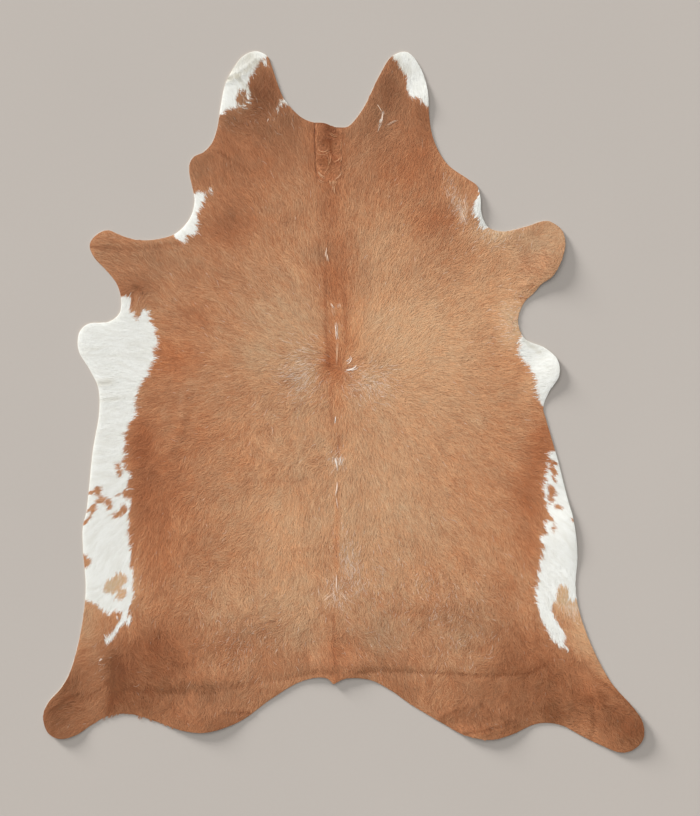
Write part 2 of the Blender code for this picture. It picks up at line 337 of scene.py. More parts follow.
BROWN_SPOTS = [
    Spot(-687, -213, 8, 20, 10), Spot(-750, -272, 11, 12), Spot(-767, -278, 9, 6),
    Spot(-767, -324, 21, 11, 55), Spot(-743, -300, 18, 11, 35), Spot(-718, -315, 9, 18, 10),
    Spot(-675, -281, 15, 6, 35), Spot(-663, -284, 15, 12), Spot(-685, -345, 21, 8, 20),
    Spot(-672, -333, 12, 15), Spot(-788, -367, 15, 5, 50), Spot(-785, -489, 15, 21),
    Spot(-310, 925, 19, 27, -12), Spot(639, -195, 8, 16, -10), Spot(625, -350, 9, 8),
    Spot(645, -224, 6, 14), Spot(628, -262, 9, 9), Spot(636, -288, 13, 24, -10),
    Spot(655, -320, 13, 7, -30), Spot(642, -386, 7, 15), Spot(697, -378, 3, 12),
    Spot(-698, -559, 36, 21, 38), Spot(-677, -539, 15, 17), Spot(-679, -592, 13, 22, -25),
    Spot(667, -589, 20, 31),
]

PATCHES = {
    "left_ear": Patch(-250, 955, 65, 85, -18),
    "left_ear_spot": Patch(-309, 925, 22, 28, 4, -1.4, 0.06),
    "left_poll": Patch(-280, 870, 120, 60, -8, -0.6, 0.04),
    "left_poll_edge": Patch(-140, 880, 40, 45, -8, -0.2),
    "right_ear": Patch(140, 960, 60, 95, -16, -0.6),
    "right_cheek": Patch(240, 855, 45, 90, -9, 0.2),
    "left_neck": Patch(-315, 735, 140, 130, -9, 0.2),
    "left_neck_edge": Patch(-455, 720, 45, 80, -6, -0.7),
    "left_cheek": Patch(-395, 805, 50, 50, -4),
    "left_neck_bay": Patch(-345, 550, 85, 60, -11, 0.4),
    "left_neck_low": Patch(-400, 490, 50, 55, -3, 0.4),
    "right_neck": Patch(170, 720, 135, 105, -6, 0.3),
    "right_neck_red": Patch(225, 715, 90, 65, -1, 0.6),
    "right_neck_bay": Patch(280, 560, 80, 60, -6, 0.8, 0, 20),
    "right_neck_haze": Patch(345, 610, 18, 65, 3, -0.3, 0.4, 25),
    "right_neck_pale": Patch(367, 574, 14, 26, 6, -0.6, 0.4, 10),
    "right_neck_gold": Patch(455, 520, 65, 40, 9, -0.8, 0.18),
    "right_poll": Patch(60, 850, 90, 70, -7, -0.7),
    "left_poll_side": Patch(-170, 795, 75, 85, -7, -0.3),
    "neck_spine": Patch(-40, 595, 28, 60, -6, 0.4),
    "left_foreleg": Patch(-705, 465, 105, 65, -4, -0.3),
    "left_elbow": Patch(-655, 345, 75, 50, -9, 0.1),
    "left_shoulder_side": Patch(-330, 390, 110, 55, -2.5),
    "left_shoulder": Patch(-545, 430, 120, 90, -4, -0.7),
    "left_shoulder_low": Patch(-460, 265, 75, 50, -6, 0.2),
    "withers": Patch(-15, 440, 65, 120, -5, 0.4),
    "withers_blot": Patch(-60, 455, 35, 25, -3, -1.3),
    "upper_spine": Patch(-25, 350, 45, 120, -3, 0.8),
    "spine_side": Patch(35, 190, 35, 100, 0, 0.8),
    "whorl_spine": Patch(-38, 110, 45, 60, -4, 1.0),
    "spine_strip": Patch(-25, 205, 34, 120, -6, 1.1),
    "spine_blot": Patch(-50, 120, 15, 25, -9, 0.5),
    "spine_low": Patch(-10, -10, 25, 65, 1, 0.6),
    "spine_end": Patch(-15, -150, 16, 30, -2, 0.6),
    "spine_star": Patch(-25, 290, 25, 20, 5, -0.6),
    "spine_curls": Patch(-18, 220, 14, 40, 6, -0.8, 0.1),
    "loin_blot": Patch(-85, -180, 28, 28, -5, 0.5),
    "lower_spine": Patch(-30, 5, 20, 135, 0, 0.4),
    "left_flank": Patch(-620, -115, 45, 80, -12, 1.4),
    "left_flank_low": Patch(-610, -285, 45, 105, -10, 0.6),
    "left_flank_band": Patch(-535, -250, 85, 160, -6, 0.8),
    "left_waist": Patch(-425, -95, 80, 70, -3, 0.6),
    "left_side": Patch(-535, 135, 85, 60, -5, 1.6),
    "left_side_low": Patch(-590, 20, 30, 50, -3, 0.4),
    "left_belly_spot": Patch(-420, -485, 50, 45, -3, 0.2),
    "left_belly": Patch(-565, -480, 90, 150, -5, 0.7),
    "right_flank": Patch(605, -140, 45, 75, -7, 1.3),
    "right_flank_low": Patch(565, -285, 55, 110, -9, 0.8),
    "right_flank_end": Patch(575, -450, 45, 85, -3, 0.5),
    "right_belly": Patch(280, -560, 105, 60, 0, -0.2, 0.04),
    "right_stifle": Patch(425, -645, 75, 80, -1, -0.7),
    "right_flank_foot": Patch(490, -590, 50, 75, -5, 0.3),
    "right_loin": Patch(320, -645, 85, 45, -4, 0, 0.06),
    "left_hip": Patch(-575, -735, 95, 75, -8, 0.4),
    "left_hock": Patch(-697, -825, 32, 78, -17, -0.2, 0, 8),
    "left_hock_top": Patch(-655, -800, 35, 50, -5),
    "left_leg": Patch(-805, -840, 55, 85, -10, -0.2, 0, -20),
    "left_rump": Patch(-630, -905, 120, 75, -16),
    "left_hock_low": Patch(-706, -916, 18, 28, -6, 0.3),
    "left_foot": Patch(-872, -965, 85, 95, -19, -0.4),
    "left_rump_middle": Patch(-555, -795, 115, 90, -12, 0.4),
    "left_rump_side": Patch(-320, -895, 170, 55, -7, -0.5),
    "left_rump_lobe": Patch(-400, -985, 150, 40, -11),
    # painted shade along the left rump fold's trough
    "left_rump_fold": Patch(-390, -875, 150, 25, -2.5, -0.3, 0, 5),
    "left_rump_top": Patch(-325, -730, 120, 80, -6, -0.3, 0.05),
    "tail_root": Patch(-15, -765, 55, 65, -7, 0.9),
    "tail_side": Patch(105, -715, 95, 90, -3, -1.3, 0.03),
    "tail_left": Patch(-130, -715, 90, 80, 1, -0.9),
    "tail_band": Patch(-40, -825, 275, 25, -6, -0.4),
    "right_hip": Patch(545, -755, 110, 75, -10, 0.4),
    "right_rump": Patch(600, -840, 130, 75, -6, 0.3),
    # painted shade along the right rump fold's trough
    "right_rump_fold": Patch(450, -845, 120, 40, -6, -0.5),
    "right_rump_lobe": Patch(455, -965, 175, 75, -14, -0.2),
    "tail_right": Patch(175, -885, 80, 50, -8, -0.2),
    "right_hock": Patch(665, -930, 100, 80, -9, -0.4),
    "right_foot": Patch(875, -990, 90, 90, -22, -0.4),
    "right_leg": Patch(765, -910, 100, 60, -7, 0.7, 0, -35),
    # the right shoulder's lighter tone: partly the coat's own gold and partly painted sheen of the hair
    "right_shoulder": Patch(190, 235, 185, 130, 9, -0.3),
    "right_back": Patch(250, 70, 215, 185, 6, -0.3),
    "right_whorl": Patch(90, 55, 60, 45, 2, -0.4, 0.35, 20),
    "left_shoulder_top": Patch(-185, 235, 110, 130, 4, -0.8),
    "left_whorl": Patch(-135, 85, 55, 70, 3, -0.6, 0.35),
    "right_foreleg": Patch(600, 490, 105, 80, 4, -1.4),
    # darker tone here is painted shade on the curled-up bend of the right foreleg
    "right_foreleg_bend": Patch(580, 420, 40, 40, -6, -0.2),
    "right_foreleg_low": Patch(590, 355, 60, 45, 4, -0.4),
    "right_elbow_top": Patch(440, 325, 90, 125, 6),
    "right_side": Patch(535, 130, 60, 80, 1, 0.6),
    "right_elbow": Patch(520, 240, 42, 68, 17, -1.0, 0.25),
    "right_shoulder_top": Patch(120, 475, 90, 90, 5, -0.3),
    "right_loin_top": Patch(125, -240, 135, 185, 4, -0.4),
    "right_loin_side": Patch(220, -370, 160, 105, 2, -0.5),
    "loin_star": Patch(-20, -180, 30, 25, 4, -0.4, 0.3),
    "left_loin": Patch(-210, -360, 120, 135, 5, -0.1),
    "left_back": Patch(-140, -110, 110, 150, 3.5, -0.4),
    "left_loin_side": Patch(-285, -140, 70, 80, 0, 0.5),
    "left_belly_top": Patch(-320, -615, 90, 80, 3.5, -0.6),
    "rump_star": Patch(-18, -590, 40, 45, 2, -0.5, 0.25),
    "rump_haze": Patch(15, -495, 30, 75, 2, -0.6, 0.28, 10),
    "rump_line": Patch(-20, -400, 9, 130, -2, 1.2),
    "loin_side": Patch(55, -425, 60, 70, 3, -0.3),
    "left_whorl_side": Patch(-265, 125, 55, 75, 3, -0.5),
    "rump_spine": Patch(-15, -335, 55, 85, 4, -0.5),
    "right_low_gold": Patch(125, -545, 90, 75, 2, -0.5, 0.05),
    "left_gold": Patch(-185, -430, 110, 100, 3, 0.2),
    "left_gold_side": Patch(-100, -410, 45, 50, 0, -0.9),
    "left_gold_low": Patch(-145, -585, 95, 75, 6, -0.6),
    "right_gold": Patch(180, -110, 130, 120, 0, -0.1),
    "right_rump_top": Patch(355, -720, 90, 75, -3, -1.0, 0.05),
    "right_leg_top": Patch(735, -715, 45, 100, 8, -0.4, 0, 20),
    "left_leg_top": Patch(-790, -655, 45, 80, 4, -0.7),
    "left_leg_haze": Patch(-750, -795, 25, 50, -1, -0.3, 0.06, -25),
    "left_leg_edge": Patch(-805, -675, 25, 45, -4),
    "left_foot_top": Patch(-849, -849, 30, 45, -4),
    "left_hock_edge": Patch(-715, -946, 25, 20, -5),
    "left_lobe_edge": Patch(-499, -958, 35, 30, -3.5),
    "left_waist_edge": Patch(-538, -1, 35, 35, -3.5),
    "left_belly_middle": Patch(-270, -540, 40, 35, -4),
    "right_hock_top": Patch(712, -800, 35, 35, -3.5),
    "left_island": Patch(-700, -560, 55, 50, 26, -1.9, 0.3),
    "right_island": Patch(672, -585, 38, 50, 26, -1.5, 0.15),
    "right_island_haze": Patch(705, -630, 30, 30, 8, -0.8, 0.6),
    "left_ear_root": Patch(-346, 859, 30, 25, -6, -0.5),
    "left_poll_top": Patch(-224, 865, 35, 35, 6),
    "right_cheek_bay": Patch(325, 738, 30, 35, 4),
    "left_neck_root": Patch(-163, 554, 35, 30, -4),
    "right_spine_top": Patch(20, 188, 16, 35, -5, 0.3),
    "right_spine_whorl": Patch(20, 66, 18, 24, -5),
    "left_whorl_low": Patch(-163, 66, 35, 30, -4),
    "right_spine_low": Patch(20, -148, 28, 45, 5),
    "left_waist_side": Patch(-346, -56, 40, 35, 4),
    "right_side_low": Patch(566, 40, 25, 50, 5),
    "left_flank_foot": Patch(-590, -300, 25, 35, 4),
    "tail_left_low": Patch(-160, -787, 60, 32, -6),
    "tail_right_low": Patch(150, -787, 80, 32, -5.5),
    "left_fold_end": Patch(-407, -900, 40, 45, -6),
    "left_foot_side": Patch(-834, -972, 28, 38, 5),
    "right_hock_low": Patch(635, -945, 42, 40, -6),
    "crown_top": Patch(-44, 835, 26, 30, -12),
    "crown_low": Patch(-48, 760, 50, 110, -14, 1.1),
    "crown_cleft": Patch(-37, 775, 6, 28, -9, 0.6, 0, 25),
    "crown_side": Patch(-22, 738, 16, 9, -8, 0.6),
}

STROKES = [
    Stroke(-590, -485, -100, 105), Stroke(-440, -485, -105, 90), Stroke(-545, -405, -115, 90),
    Stroke(-210, -420, -112, 90), Stroke(-330, -555, -50, 85), Stroke(-40, -485, -90, 90),
    Stroke(170, -435, -75, 105), Stroke(385, -485, -62, 120), Stroke(540, -485, -66, 105),
    Stroke(-485, -620, -140, 55), Stroke(-360, -665, -105, 90), Stroke(-135, -725, -95, 120),
    Stroke(95, -770, -72, 75), Stroke(285, -595, -120, 65), Stroke(340, -790, -92, 90),
    Stroke(455, -770, -115, 75), Stroke(210, -915, -52, 75), Stroke(-545, -805, -56, 85),
    Stroke(-620, -725, -62, 65), Stroke(-420, -880, -88, 90), Stroke(-390, -970, -92, 90),
    Stroke(-650, -895, -80, 75), Stroke(-765, -725, -122, 75), Stroke(-790, -850, -132, 75),
    Stroke(-870, -955, -140, 75), Stroke(675, -620, -88, 50), Stroke(720, -725, -50, 60),
    Stroke(800, -880, -33, 75), Stroke(870, -985, -45, 75), Stroke(600, -880, -95, 90),
    Stroke(415, -945, -100, 90), Stroke(615, -755, -100, 75), Stroke(-705, 465, 165, 90),
    Stroke(-630, 315, -75, 50), Stroke(-560, 400, 118, 90), Stroke(585, 355, 10, 55),
    Stroke(555, 295, -25, 45), Stroke(615, 495, 30, 75), Stroke(475, 450, 48, 85),
    Stroke(-250, 965, 120, 90), Stroke(-160, 765, 124, 75), Stroke(110, 765, 52, 75),
    Stroke(-330, 855, 135, 75), Stroke(150, 965, 90, 90), Stroke(295, 660, 85, 55),
    Stroke(240, 835, 140, 45), Stroke(-390, 705, 102, 65), Stroke(-62, 35, 238, 40),
    Stroke(24, 32, -55, 40), Stroke(-18, 10, -90, 30),
]

CROWN_WHORLS = [
    Whorl(-60, 780, 18, 1), Whorl(-22, 786, 17, -1), Whorl(-68, 722, 20, 1), Whorl(-28, 724, 17, -1),
    Whorl(-45, 828, 16, 1),
]

FRAYS = [
    Fray(-700, -958, 35, 12), Fray(-650, -960, 35, 12), Fray(-595, -975, 35, 10), Fray(-540, -995, 30, 7),
    Fray(-745, -975, 25, 7),
]

RUFFLES = [
    Ruffle(-250, 910, 110, 0.5), Ruffle(160, 930, 110, 0.3), Ruffle(70, 790, 90, 0.3),
    Ruffle(600, 415, 120, 0.8), Ruffle(-210, -130, 170, 0.7), Ruffle(-590, -210, 105, 0.4),
    Ruffle(-560, -850, 185, 0.7), Ruffle(570, -850, 185, 0.8), Ruffle(295, -635, 135, 0.6),
    Ruffle(-40, -695, 185, 0.5), Ruffle(-420, -485, 120, 0.6), Ruffle(-330, -635, 120, 0.5),
    Ruffle(385, -910, 150, 0.6), Ruffle(50, 65, 65, 0.5), Ruffle(-4, 91, 45, 0.5),
    Ruffle(780, -910, 120, 0.4),
]

TUFTS = [
    Tuft(-29, 274, 27, 110, -30, 3, 0.15), Tuft(-21, 214, 60, 100, -22, 3, 0.65),
    Tuft(-17, 150, 75, 90, 0, 3, 0.1), Tuft(-33, 292, 16, 120, 0, 5, 0.4),
    Tuft(-11, 291, 16, 85, 0, 4, 0.25), Tuft(18, 128, 32, 48, 80, 3, 0.7),
    Tuft(26, 102, 42, 22, 70, 5, 0.75), Tuft(-26, -56, 24, 85, 10, 3, 0.8),
    Tuft(-20, -187, 43, 100, 0, 4, 0.75), Tuft(-11, -178, 30, 70, 0, 3, 0.8),
    Tuft(-22, -263, 50, 88, 12, 2, 0.5), Tuft(-18, -305, 40, 100, -10, 2, 0.4),
    Tuft(-22, -550, 70, 90, 0, 2, 0.4), Tuft(-26, -592, 27, 95, 20, 4, 0.35),
    Tuft(0, -590, 40, -50, 20, 5, 0.2), Tuft(-50, -596, 36, -140, 20, 5, 0.2),
    Tuft(113, 893, 27, -57, 0, 2, 0.35), Tuft(116, 864, 38, -102, -15, 4, 0.45),
    Tuft(148, 851, 34, 30, -25, 3, 0.3), Tuft(-741, -786, 14, 50, 0, 3, 0.6),
    Tuft(-230, 857, 8, 60, 0, 3, 0.5), Tuft(-404, 646, 12, 100, 0, 2, 0.8),
    Tuft(371, 600, 37, 105, 5, 3, 0.35), Tuft(365, 564, 37, 105, 5, 3, 0.4),
    Tuft(-53, 457, 30, 80, 0, 4, 0.35), Tuft(-47, 439, 24, 95, 0, 3, 0.35),
    Tuft(524, 252, 40, 60, 0, 6, 0.12), Tuft(514, 222, 34, 75, 0, 5, 0.12),
    Tuft(-691, -659, 15, 100, 0, 3, 0.8), Tuft(-60, 764, 58, 0, 125, 2, 0.02),
    Tuft(-65, 687, 42, -38, 50, 3, 0.06), Tuft(-15, 688, 38, 48, 40, 3, 0.06),
    Tuft(-66, 670, 25, -25, 50, 2, 0.04), Tuft(-43, 733, 46, -88, -60, 2, 0),
    Tuft(-47, 702, 30, -122, -20, 2, 0), Tuft(-10, 777, 40, -100, -60, 2, 0),
    Tuft(-9, 735, 27, -110, -70, 2, 0), Tuft(-21, 738, 28, 40, 60, 2, 0), Tuft(-41, 667, 20, 108, 0, 3, 0),
    Tuft(-33, 666, 22, 90, 0, 4, 0.02), Tuft(-25, 667, 20, 72, 0, 3, 0),
    Tuft(-30, 648, 30, 95, 10, 4, 0.04), Tuft(-28, 812, 30, -20, 70, 2, 0),
]


# ---------------------------------------------------------------- outlines

def flat(points):
    """Points of a table as complex numbers."""
    return np.array(points, float) @ (1, 1j)


def smooth_path(landmarks, per_span):
    """An open centripetal Catmull-Rom curve through the landmarks, with its end tangents mirrored."""
    p = np.concatenate([[2 * landmarks[0] - landmarks[1]], landmarks, [2 * landmarks[-1] - landmarks[-2]]])
    knot = np.sqrt(np.abs(np.diff(p)))[:, None]
    t1, t2, t3 = knot[:-2], knot[:-2] + knot[1:-1], knot[:-2] + knot[1:-1] + knot[2:]
    t = t1 + (t2 - t1) * np.linspace(0, 1, per_span, endpoint=False)
    q0, q1, q2, q3 = (p[first:len(p) - 3 + first, None] for first in range(4))
    a1 = ((t1 - t) * q0 + t * q1) / t1
    a2 = ((t2 - t) * q1 + (t - t1) * q2) / (t2 - t1)
    a3 = ((t3 - t) * q2 + (t - t2) * q3) / (t3 - t2)
    b1 = ((t2 - t) * a1 + t * a2) / t2
    b2 = ((t3 - t) * a2 + (t - t1) * a3) / (t3 - t1)
    curve = ((t2 - t) * b1 + (t - t1) * b2) / (t2 - t1)
    return np.append(curve.ravel(), p[-2])


def evenly(path, step):
    """The same path with points a step apart, both ends kept."""
    run = np.concatenate([[0], np.cumsum(np.abs(np.diff(path)))])
    return np.interp(np.linspace(0, run[-1], round(run[-1] / step) + 1), run, path)


def nearest(points, path):
    """Distance from each point to a path of straight runs."""
    near = np.full(np.shape(points), np.inf)
    for start, run in zip(path[:-1], np.diff(path)):
        share = np.clip(((points - start) * np.conj(run)).real / abs(run) ** 2, 0, 1)
        near = np.minimum(near, np.abs(points - start - share * run))
    return near


def rim_of(name):
    """A solid's outline, counter-clockwise: the edges that only one of its upper faces has."""
    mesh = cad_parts[name].data
    mesh.calc_loop_triangles()
    place = np.empty(len(mesh.vertices) * 3, np.float32)
    corner = np.empty(len(mesh.loop_triangles) * 3, np.int32)
    mesh.vertices.foreach_get("co", place)
    mesh.loop_triangles.foreach_get("vertices", corner)
    spots, spot = np.unique(np.round(place.reshape(-1, 3) / MM, 3), axis=0, return_inverse=True)
    ring = spot.ravel()[corner].reshape(-1, 3)
    a, b, c = (spots[ring[:, k]] for k in range(3))
    facing = np.cross(b - a, c - a)
    ring = ring[facing[:, 2] > UPWARD * np.linalg.norm(facing, axis=1)]
    start, end = ring.ravel(), np.roll(ring, -1, 1).ravel()
    alone = ~np.isin(start * len(spots) + end, end * len(spots) + start)
    after = dict(zip(start[alone], end[alone]))
    walk = [min(after)]
    while after[walk[-1]] != walk[0]:
        walk.append(after[walk[-1]])
    return flat(spots[walk][:, :2])


def parted(loop, other):
    """A loop's free stretch and the stretch that is sewn to the other loop, each with both its ends."""
    sewn = nearest(loop, np.append(other, other[0])) < SEWN_GAP
    first = np.nonzero(sewn & ~np.roll(sewn, -1))[0][0]
    loop, sewn = np.roll(loop, -first), np.roll(sewn, -first)
    last = np.nonzero(sewn)[0][1]
    return loop[:last + 1], np.append(loop[last:], loop[0])


@cache
def outlines():
    """Free and sewn stretches of the hide and of the insert, with points an even step apart."""
    hide, crown = rim_of("hide"), rim_of("crown_insert")
    hide_free, hide_sewn = parted(hide, crown)
    crown_free, crown_sewn = parted(crown, hide)
    return SimpleNamespace(
        hide_free=evenly(smooth_path(hide_free, 4), EDGE_STEP), hide_sewn=evenly(hide_sewn, EDGE_STEP),
        crown_free=evenly(smooth_path(crown_free, 4), EDGE_STEP), crown_sewn=evenly(crown_sewn, EDGE_STEP))


# ---------------------------------------------------------------- maps

class Grid:
    """A square grid of places over the rug, for maps that are worked out once and read anywhere."""

    def __init__(self, low, high, step):
        self.step = step
        self.x = np.arange(low.real, high.real + step, step)
        self.y = np.arange(low.imag, high.imag + step, step)
        self.places = self.x + 1j * self.y[:, None]

    def read(self, field, places):
        """A map's value at any place: bilinear between the four grid points round it."""
        u = np.clip((places.real - self.x[0]) / self.step, 0, len(self.x) - 1.001)
        v = np.clip((places.imag - self.y[0]) / self.step, 0, len(self.y) - 1.001)
        i, j = u.astype(int), v.astype(int)
        u, v = u - i, v - j
        low = field[j, i] * (1 - u) + field[j, i + 1] * u
        high = field[j + 1, i] * (1 - u) + field[j + 1, i + 1] * u
        return low * (1 - v) + high * v

    def covers(self, loop):
        """Whether each grid point is inside a loop: odd crossings of the loop on its left, along its row."""
        start, end = loop, np.roll(loop, -1)
        level = self.y[:, None]
        row, edge = np.nonzero((start.imag > level) != (end.imag > level))
        run = (end - start)[edge]
        cross = start.real[edge] + (self.y[row] - start.imag[edge]) * run.real / run.imag
        column = np.clip(np.ceil((cross - self.x[0]) / self.step), 0, len(self.x) - 1).astype(int)
        marks = np.zeros(self.places.shape, int)
        np.add.at(marks, (row, column), 1)
        return np.cumsum(marks, 1) % 2 == 1

    def distance(self, path, reach):
        """Distance from each grid point to a path, up to a reach."""
        far = np.full(self.places.shape, float(reach))
        for start, end in zip(path[:-1], path[1:]):
            spans = ((self.y, (start.imag, end.imag)), (self.x, (start.real, end.real)))
            window = tuple(slice(*np.searchsorted(line, (min(run) - reach, max(run) + reach)))
                           for line, run in spans)
            far[window] = np.minimum(far[window], nearest(self.places[window], np.array([start, end])))
        return far

    def inset(self, loop, reach):
        """Signed distance to a loop: positive inside it."""
        return np.where(self.covers(loop), 1, -1) * self.distance(np.append(loop, loop[0]), reach)

    def cloud(self, width, seed):
        """Smooth noise: white noise under a Gaussian blur of a given width, scaled to a spread of one."""
        white = np.random.default_rng(seed).standard_normal(self.places.shape)
        along_y, along_x = np.fft.fftfreq(len(self.y), self.step), np.fft.rfftfreq(len(self.x), self.step)
        wave = along_y[:, None] ** 2 + along_x ** 2
        soft = np.fft.irfft2(np.fft.rfft2(white) * np.exp(-2 * (np.pi * width / 3) ** 2 * wave), white.shape)
        return soft / soft.std()

    def smeared(self, noise, lay, steps):
        """Noise drawn out along the lay of the hair: the mean over a few steps both ways, spread of one."""
        total = noise.copy()
        for way in (1, -1):
            places = self.places
            for _ in range(steps):
                places = places + way * self.step * self.read(lay, places)
                total += self.read(noise, places)
        return (total - total.mean()) / total.std()


def oval(places, row):
    """Distance from an oval's middle as a share of its half sizes, after turning it level."""
    local = (places - complex(row.x, row.y)) * np.exp(-1j * np.radians(row.turn))
    return np.hypot(local.real / row.half_width, local.imag / row.half_height)


def bell(places, row):
    """One at a row's place, falling off as a Gaussian over its reach."""
    return np.exp(-(np.abs(places - complex(row.x, row.y)) / row.reach) ** 2)


def relief_map(grid):
    """Height of the underside: a squared dome at each lift, and 27/4 u (1 - u)^2 beside each fold."""
    places = grid.places + SOURCE_MIDDLE
    height = np.zeros(places.shape)
    for lift in LIFTS.values():
        far = np.abs(places - complex(lift.x, lift.y)) / lift.reach
        height += lift.height * np.clip(1 - far ** 2, 0, None) ** 2
    for fold in FOLDS.values():
        far = grid.distance(flat(fold.points) - SOURCE_MIDDLE, fold.reach) / fold.reach
        height += FOLD_SHARE * fold.swell * 27 / 4 * far * (1 - far) ** 2
    return height


def wrinkle_map(grid):
    """The same rise beside each fine wrinkle, which only the hair side shows."""
    height = np.zeros(grid.places.shape)
    for fold in WRINKLES.values():
        far = grid.distance(smooth_path(flat(fold.points), 6), fold.reach) / fold.reach
        height += fold.swell * 27 / 4 * far * (1 - far) ** 2
    return height


def lay_map(grid, ruffle, seed):
    """Unit headings of the hair: a spiral out of the whorl, turned by strokes and swirled by ruffles."""
    away = grid.places - WHORL
    lay = away / np.maximum(np.abs(away), 1) * np.exp(0.6j * np.exp(-np.abs(away) / 90))
    for stroke in STROKES:
        lay = lay + STROKE_GAIN * bell(grid.places, stroke) * np.exp(1j * np.radians(stroke.heading))
    lay = lay / np.maximum(np.abs(lay), 1e-6)
    swirl = (0.05 + 0.45 * ruffle) * grid.cloud(70, seed) + (0.04 + 0.35 * ruffle) * grid.cloud(28, seed + 1)
    return lay * np.exp(1j * swirl)


def white_map(grid, streaks, seed):
    """Signed distance into the white, positive inside, with its border roughened along the hair."""
    white = np.full(grid.places.shape, -float(BORDER_REACH))
    for loop in WHITE.values():
        white = np.maximum(white, grid.inset(flat(loop), BORDER_REACH))
    for spot in WHITE_SPOTS:
        white = np.maximum(white, (1 - oval(grid.places, spot)) * min(spot.half_width, spot.half_height))
    for spot in BROWN_SPOTS:
        white = np.minimum(white, (oval(grid.places, spot) - 1) * min(spot.half_width, spot.half_height))
    return white + 1.6 * grid.cloud(14, seed) + 2.0 * streaks


@cache
def hide_maps(seed):
    """Every map of the hide that its skin and its coat read."""
    lines = outlines()
    cut_edge = np.concatenate([lines.hide_free[:-1], lines.crown_free[:-1]])
    crown = np.concatenate([lines.crown_free[:-1], lines.crown_sewn[:-1]])
    margin = MAP_MARGIN * (1 + 1j)
    low = complex(cut_edge.real.min(), cut_edge.imag.min()) - margin
    high = complex(cut_edge.real.max(), cut_edge.imag.max()) + margin
    grid = Grid(low, high, MAP_STEP)
    maps = SimpleNamespace(grid=grid)
    maps.inset = grid.inset(cut_edge, INSET_REACH)
    maps.crown = grid.inset(crown, INSET_REACH)
    maps.lift = relief_map(grid)
    maps.top = maps.lift + wrinkle_map(grid)
    maps.ruffle = np.clip(CALM_RUFFLE + sum(row.amount * bell(grid.places, row) for row in RUFFLES), 0, 1)
    maps.lay = lay_map(grid, maps.ruffle, seed)
    maps.streaks = grid.smeared(grid.cloud(5, seed + 10), maps.lay, 6)
    maps.bands = grid.smeared(grid.cloud(11, seed + 11), maps.lay, 12)
    maps.white = white_map(grid, maps.streaks, seed + 20)
    shares = [np.exp(-oval(grid.places, row) ** 2) for row in PATCHES.values()]
    light, redness, pale = (
        sum(getattr(row, column) * share for row, share in zip(PATCHES.values(), shares))
        for column in ("lightness", "redness", "pale"))
    # Painted shade: the tone is darkened along each fold's and wrinkle's trough, the left rump fold's dark
    # line among them. The spine's border lines and the seam's line darken it as the hair's own colour, and a
    # negative shade lightens it.
    shade = np.zeros(grid.places.shape)
    for folds, middle in ((FOLDS, SOURCE_MIDDLE), (WRINKLES, 0)):
        for fold in folds.values():
            far = grid.distance(smooth_path(flat(fold.points) - middle, 6), BORDER_REACH)
            shade += fold.shade * np.exp(-(far / fold.width) ** 2)
    light += (0.3 + 0.8 * maps.ruffle) * (0.6 * grid.cloud(80, seed + 30) + grid.cloud(36, seed + 31))
    brown = np.clip(0.5 - maps.white / 8, 0, 1)
    maps.tone = BASE_TONE + TONE_PER_LIGHTNESS * (brown * light - shade)
    maps.redness = redness + (0.1 * grid.cloud(60, seed + 32) + 0.15 * grid.cloud(24, seed + 33))
    maps.pale = RARE_PALE + pale
    return maps


def coat_depth(inset):
    """Depth of the hair, which thins towards the cut edge."""
    return CUT_EDGE_COAT + (COAT - CUT_EDGE_COAT) * (1 - np.exp(-np.clip(inset, 0, None) / COAT_SHOULDER))


# ---------------------------------------------------------------- meshes

def new_piece(name, points, corners, starts, materials):
    """A mesh object from arrays: points in millimetres, corners of the faces, and where each face starts."""
    mesh = bpy.data.meshes.new(name)
    mesh.vertices.add(len(points))
    mesh.loops.add(len(corners))
    mesh.polygons.add(len(starts))
    mesh.vertices.foreach_set("co", (points * MM).astype(np.float32).ravel())
    mesh.loops.foreach_set("vertex_index", corners.astype(np.int32))
    mesh.polygons.foreach_set("loop_start", starts.astype(np.int32))
    mesh.update(calc_edges=True)
    for material in materials:
        mesh.materials.append(material)
    mesh.shade_smooth()
    piece = bpy.data.objects.new(name, mesh)
    bpy.context.scene.collection.objects.link(piece)
    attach(piece, "root")
    return piece


def paint(piece, **values):
    """Point attributes for the materials to read."""
    for name, value in values.items():
        attribute = piece.data.attributes.new(name, "FLOAT", "POINT")
        attribute.data.foreach_set("value", np.ascontiguousarray(value, np.float32).ravel())


def unfold(piece, u, v):
    """The map that a bake fills: one pair of numbers for each corner of the faces."""
    layer = piece.data.uv_layers.new(name="OFBake")
    layer.uv.foreach_set("vector", np.stack([u, v], -1).astype(np.float32).ravel())


def seen_from_above(piece, points, corners):
    """Unfolds a piece as it is seen from above, fitted to the map's square."""
    low, size = points.min(0), (points.max(0) - points.min(0))[:2].max()
    place = 0.01 + 0.98 * (points[corners, :2] - low[:2]) / size
    unfold(piece, place[:, 0], place[:, 1])


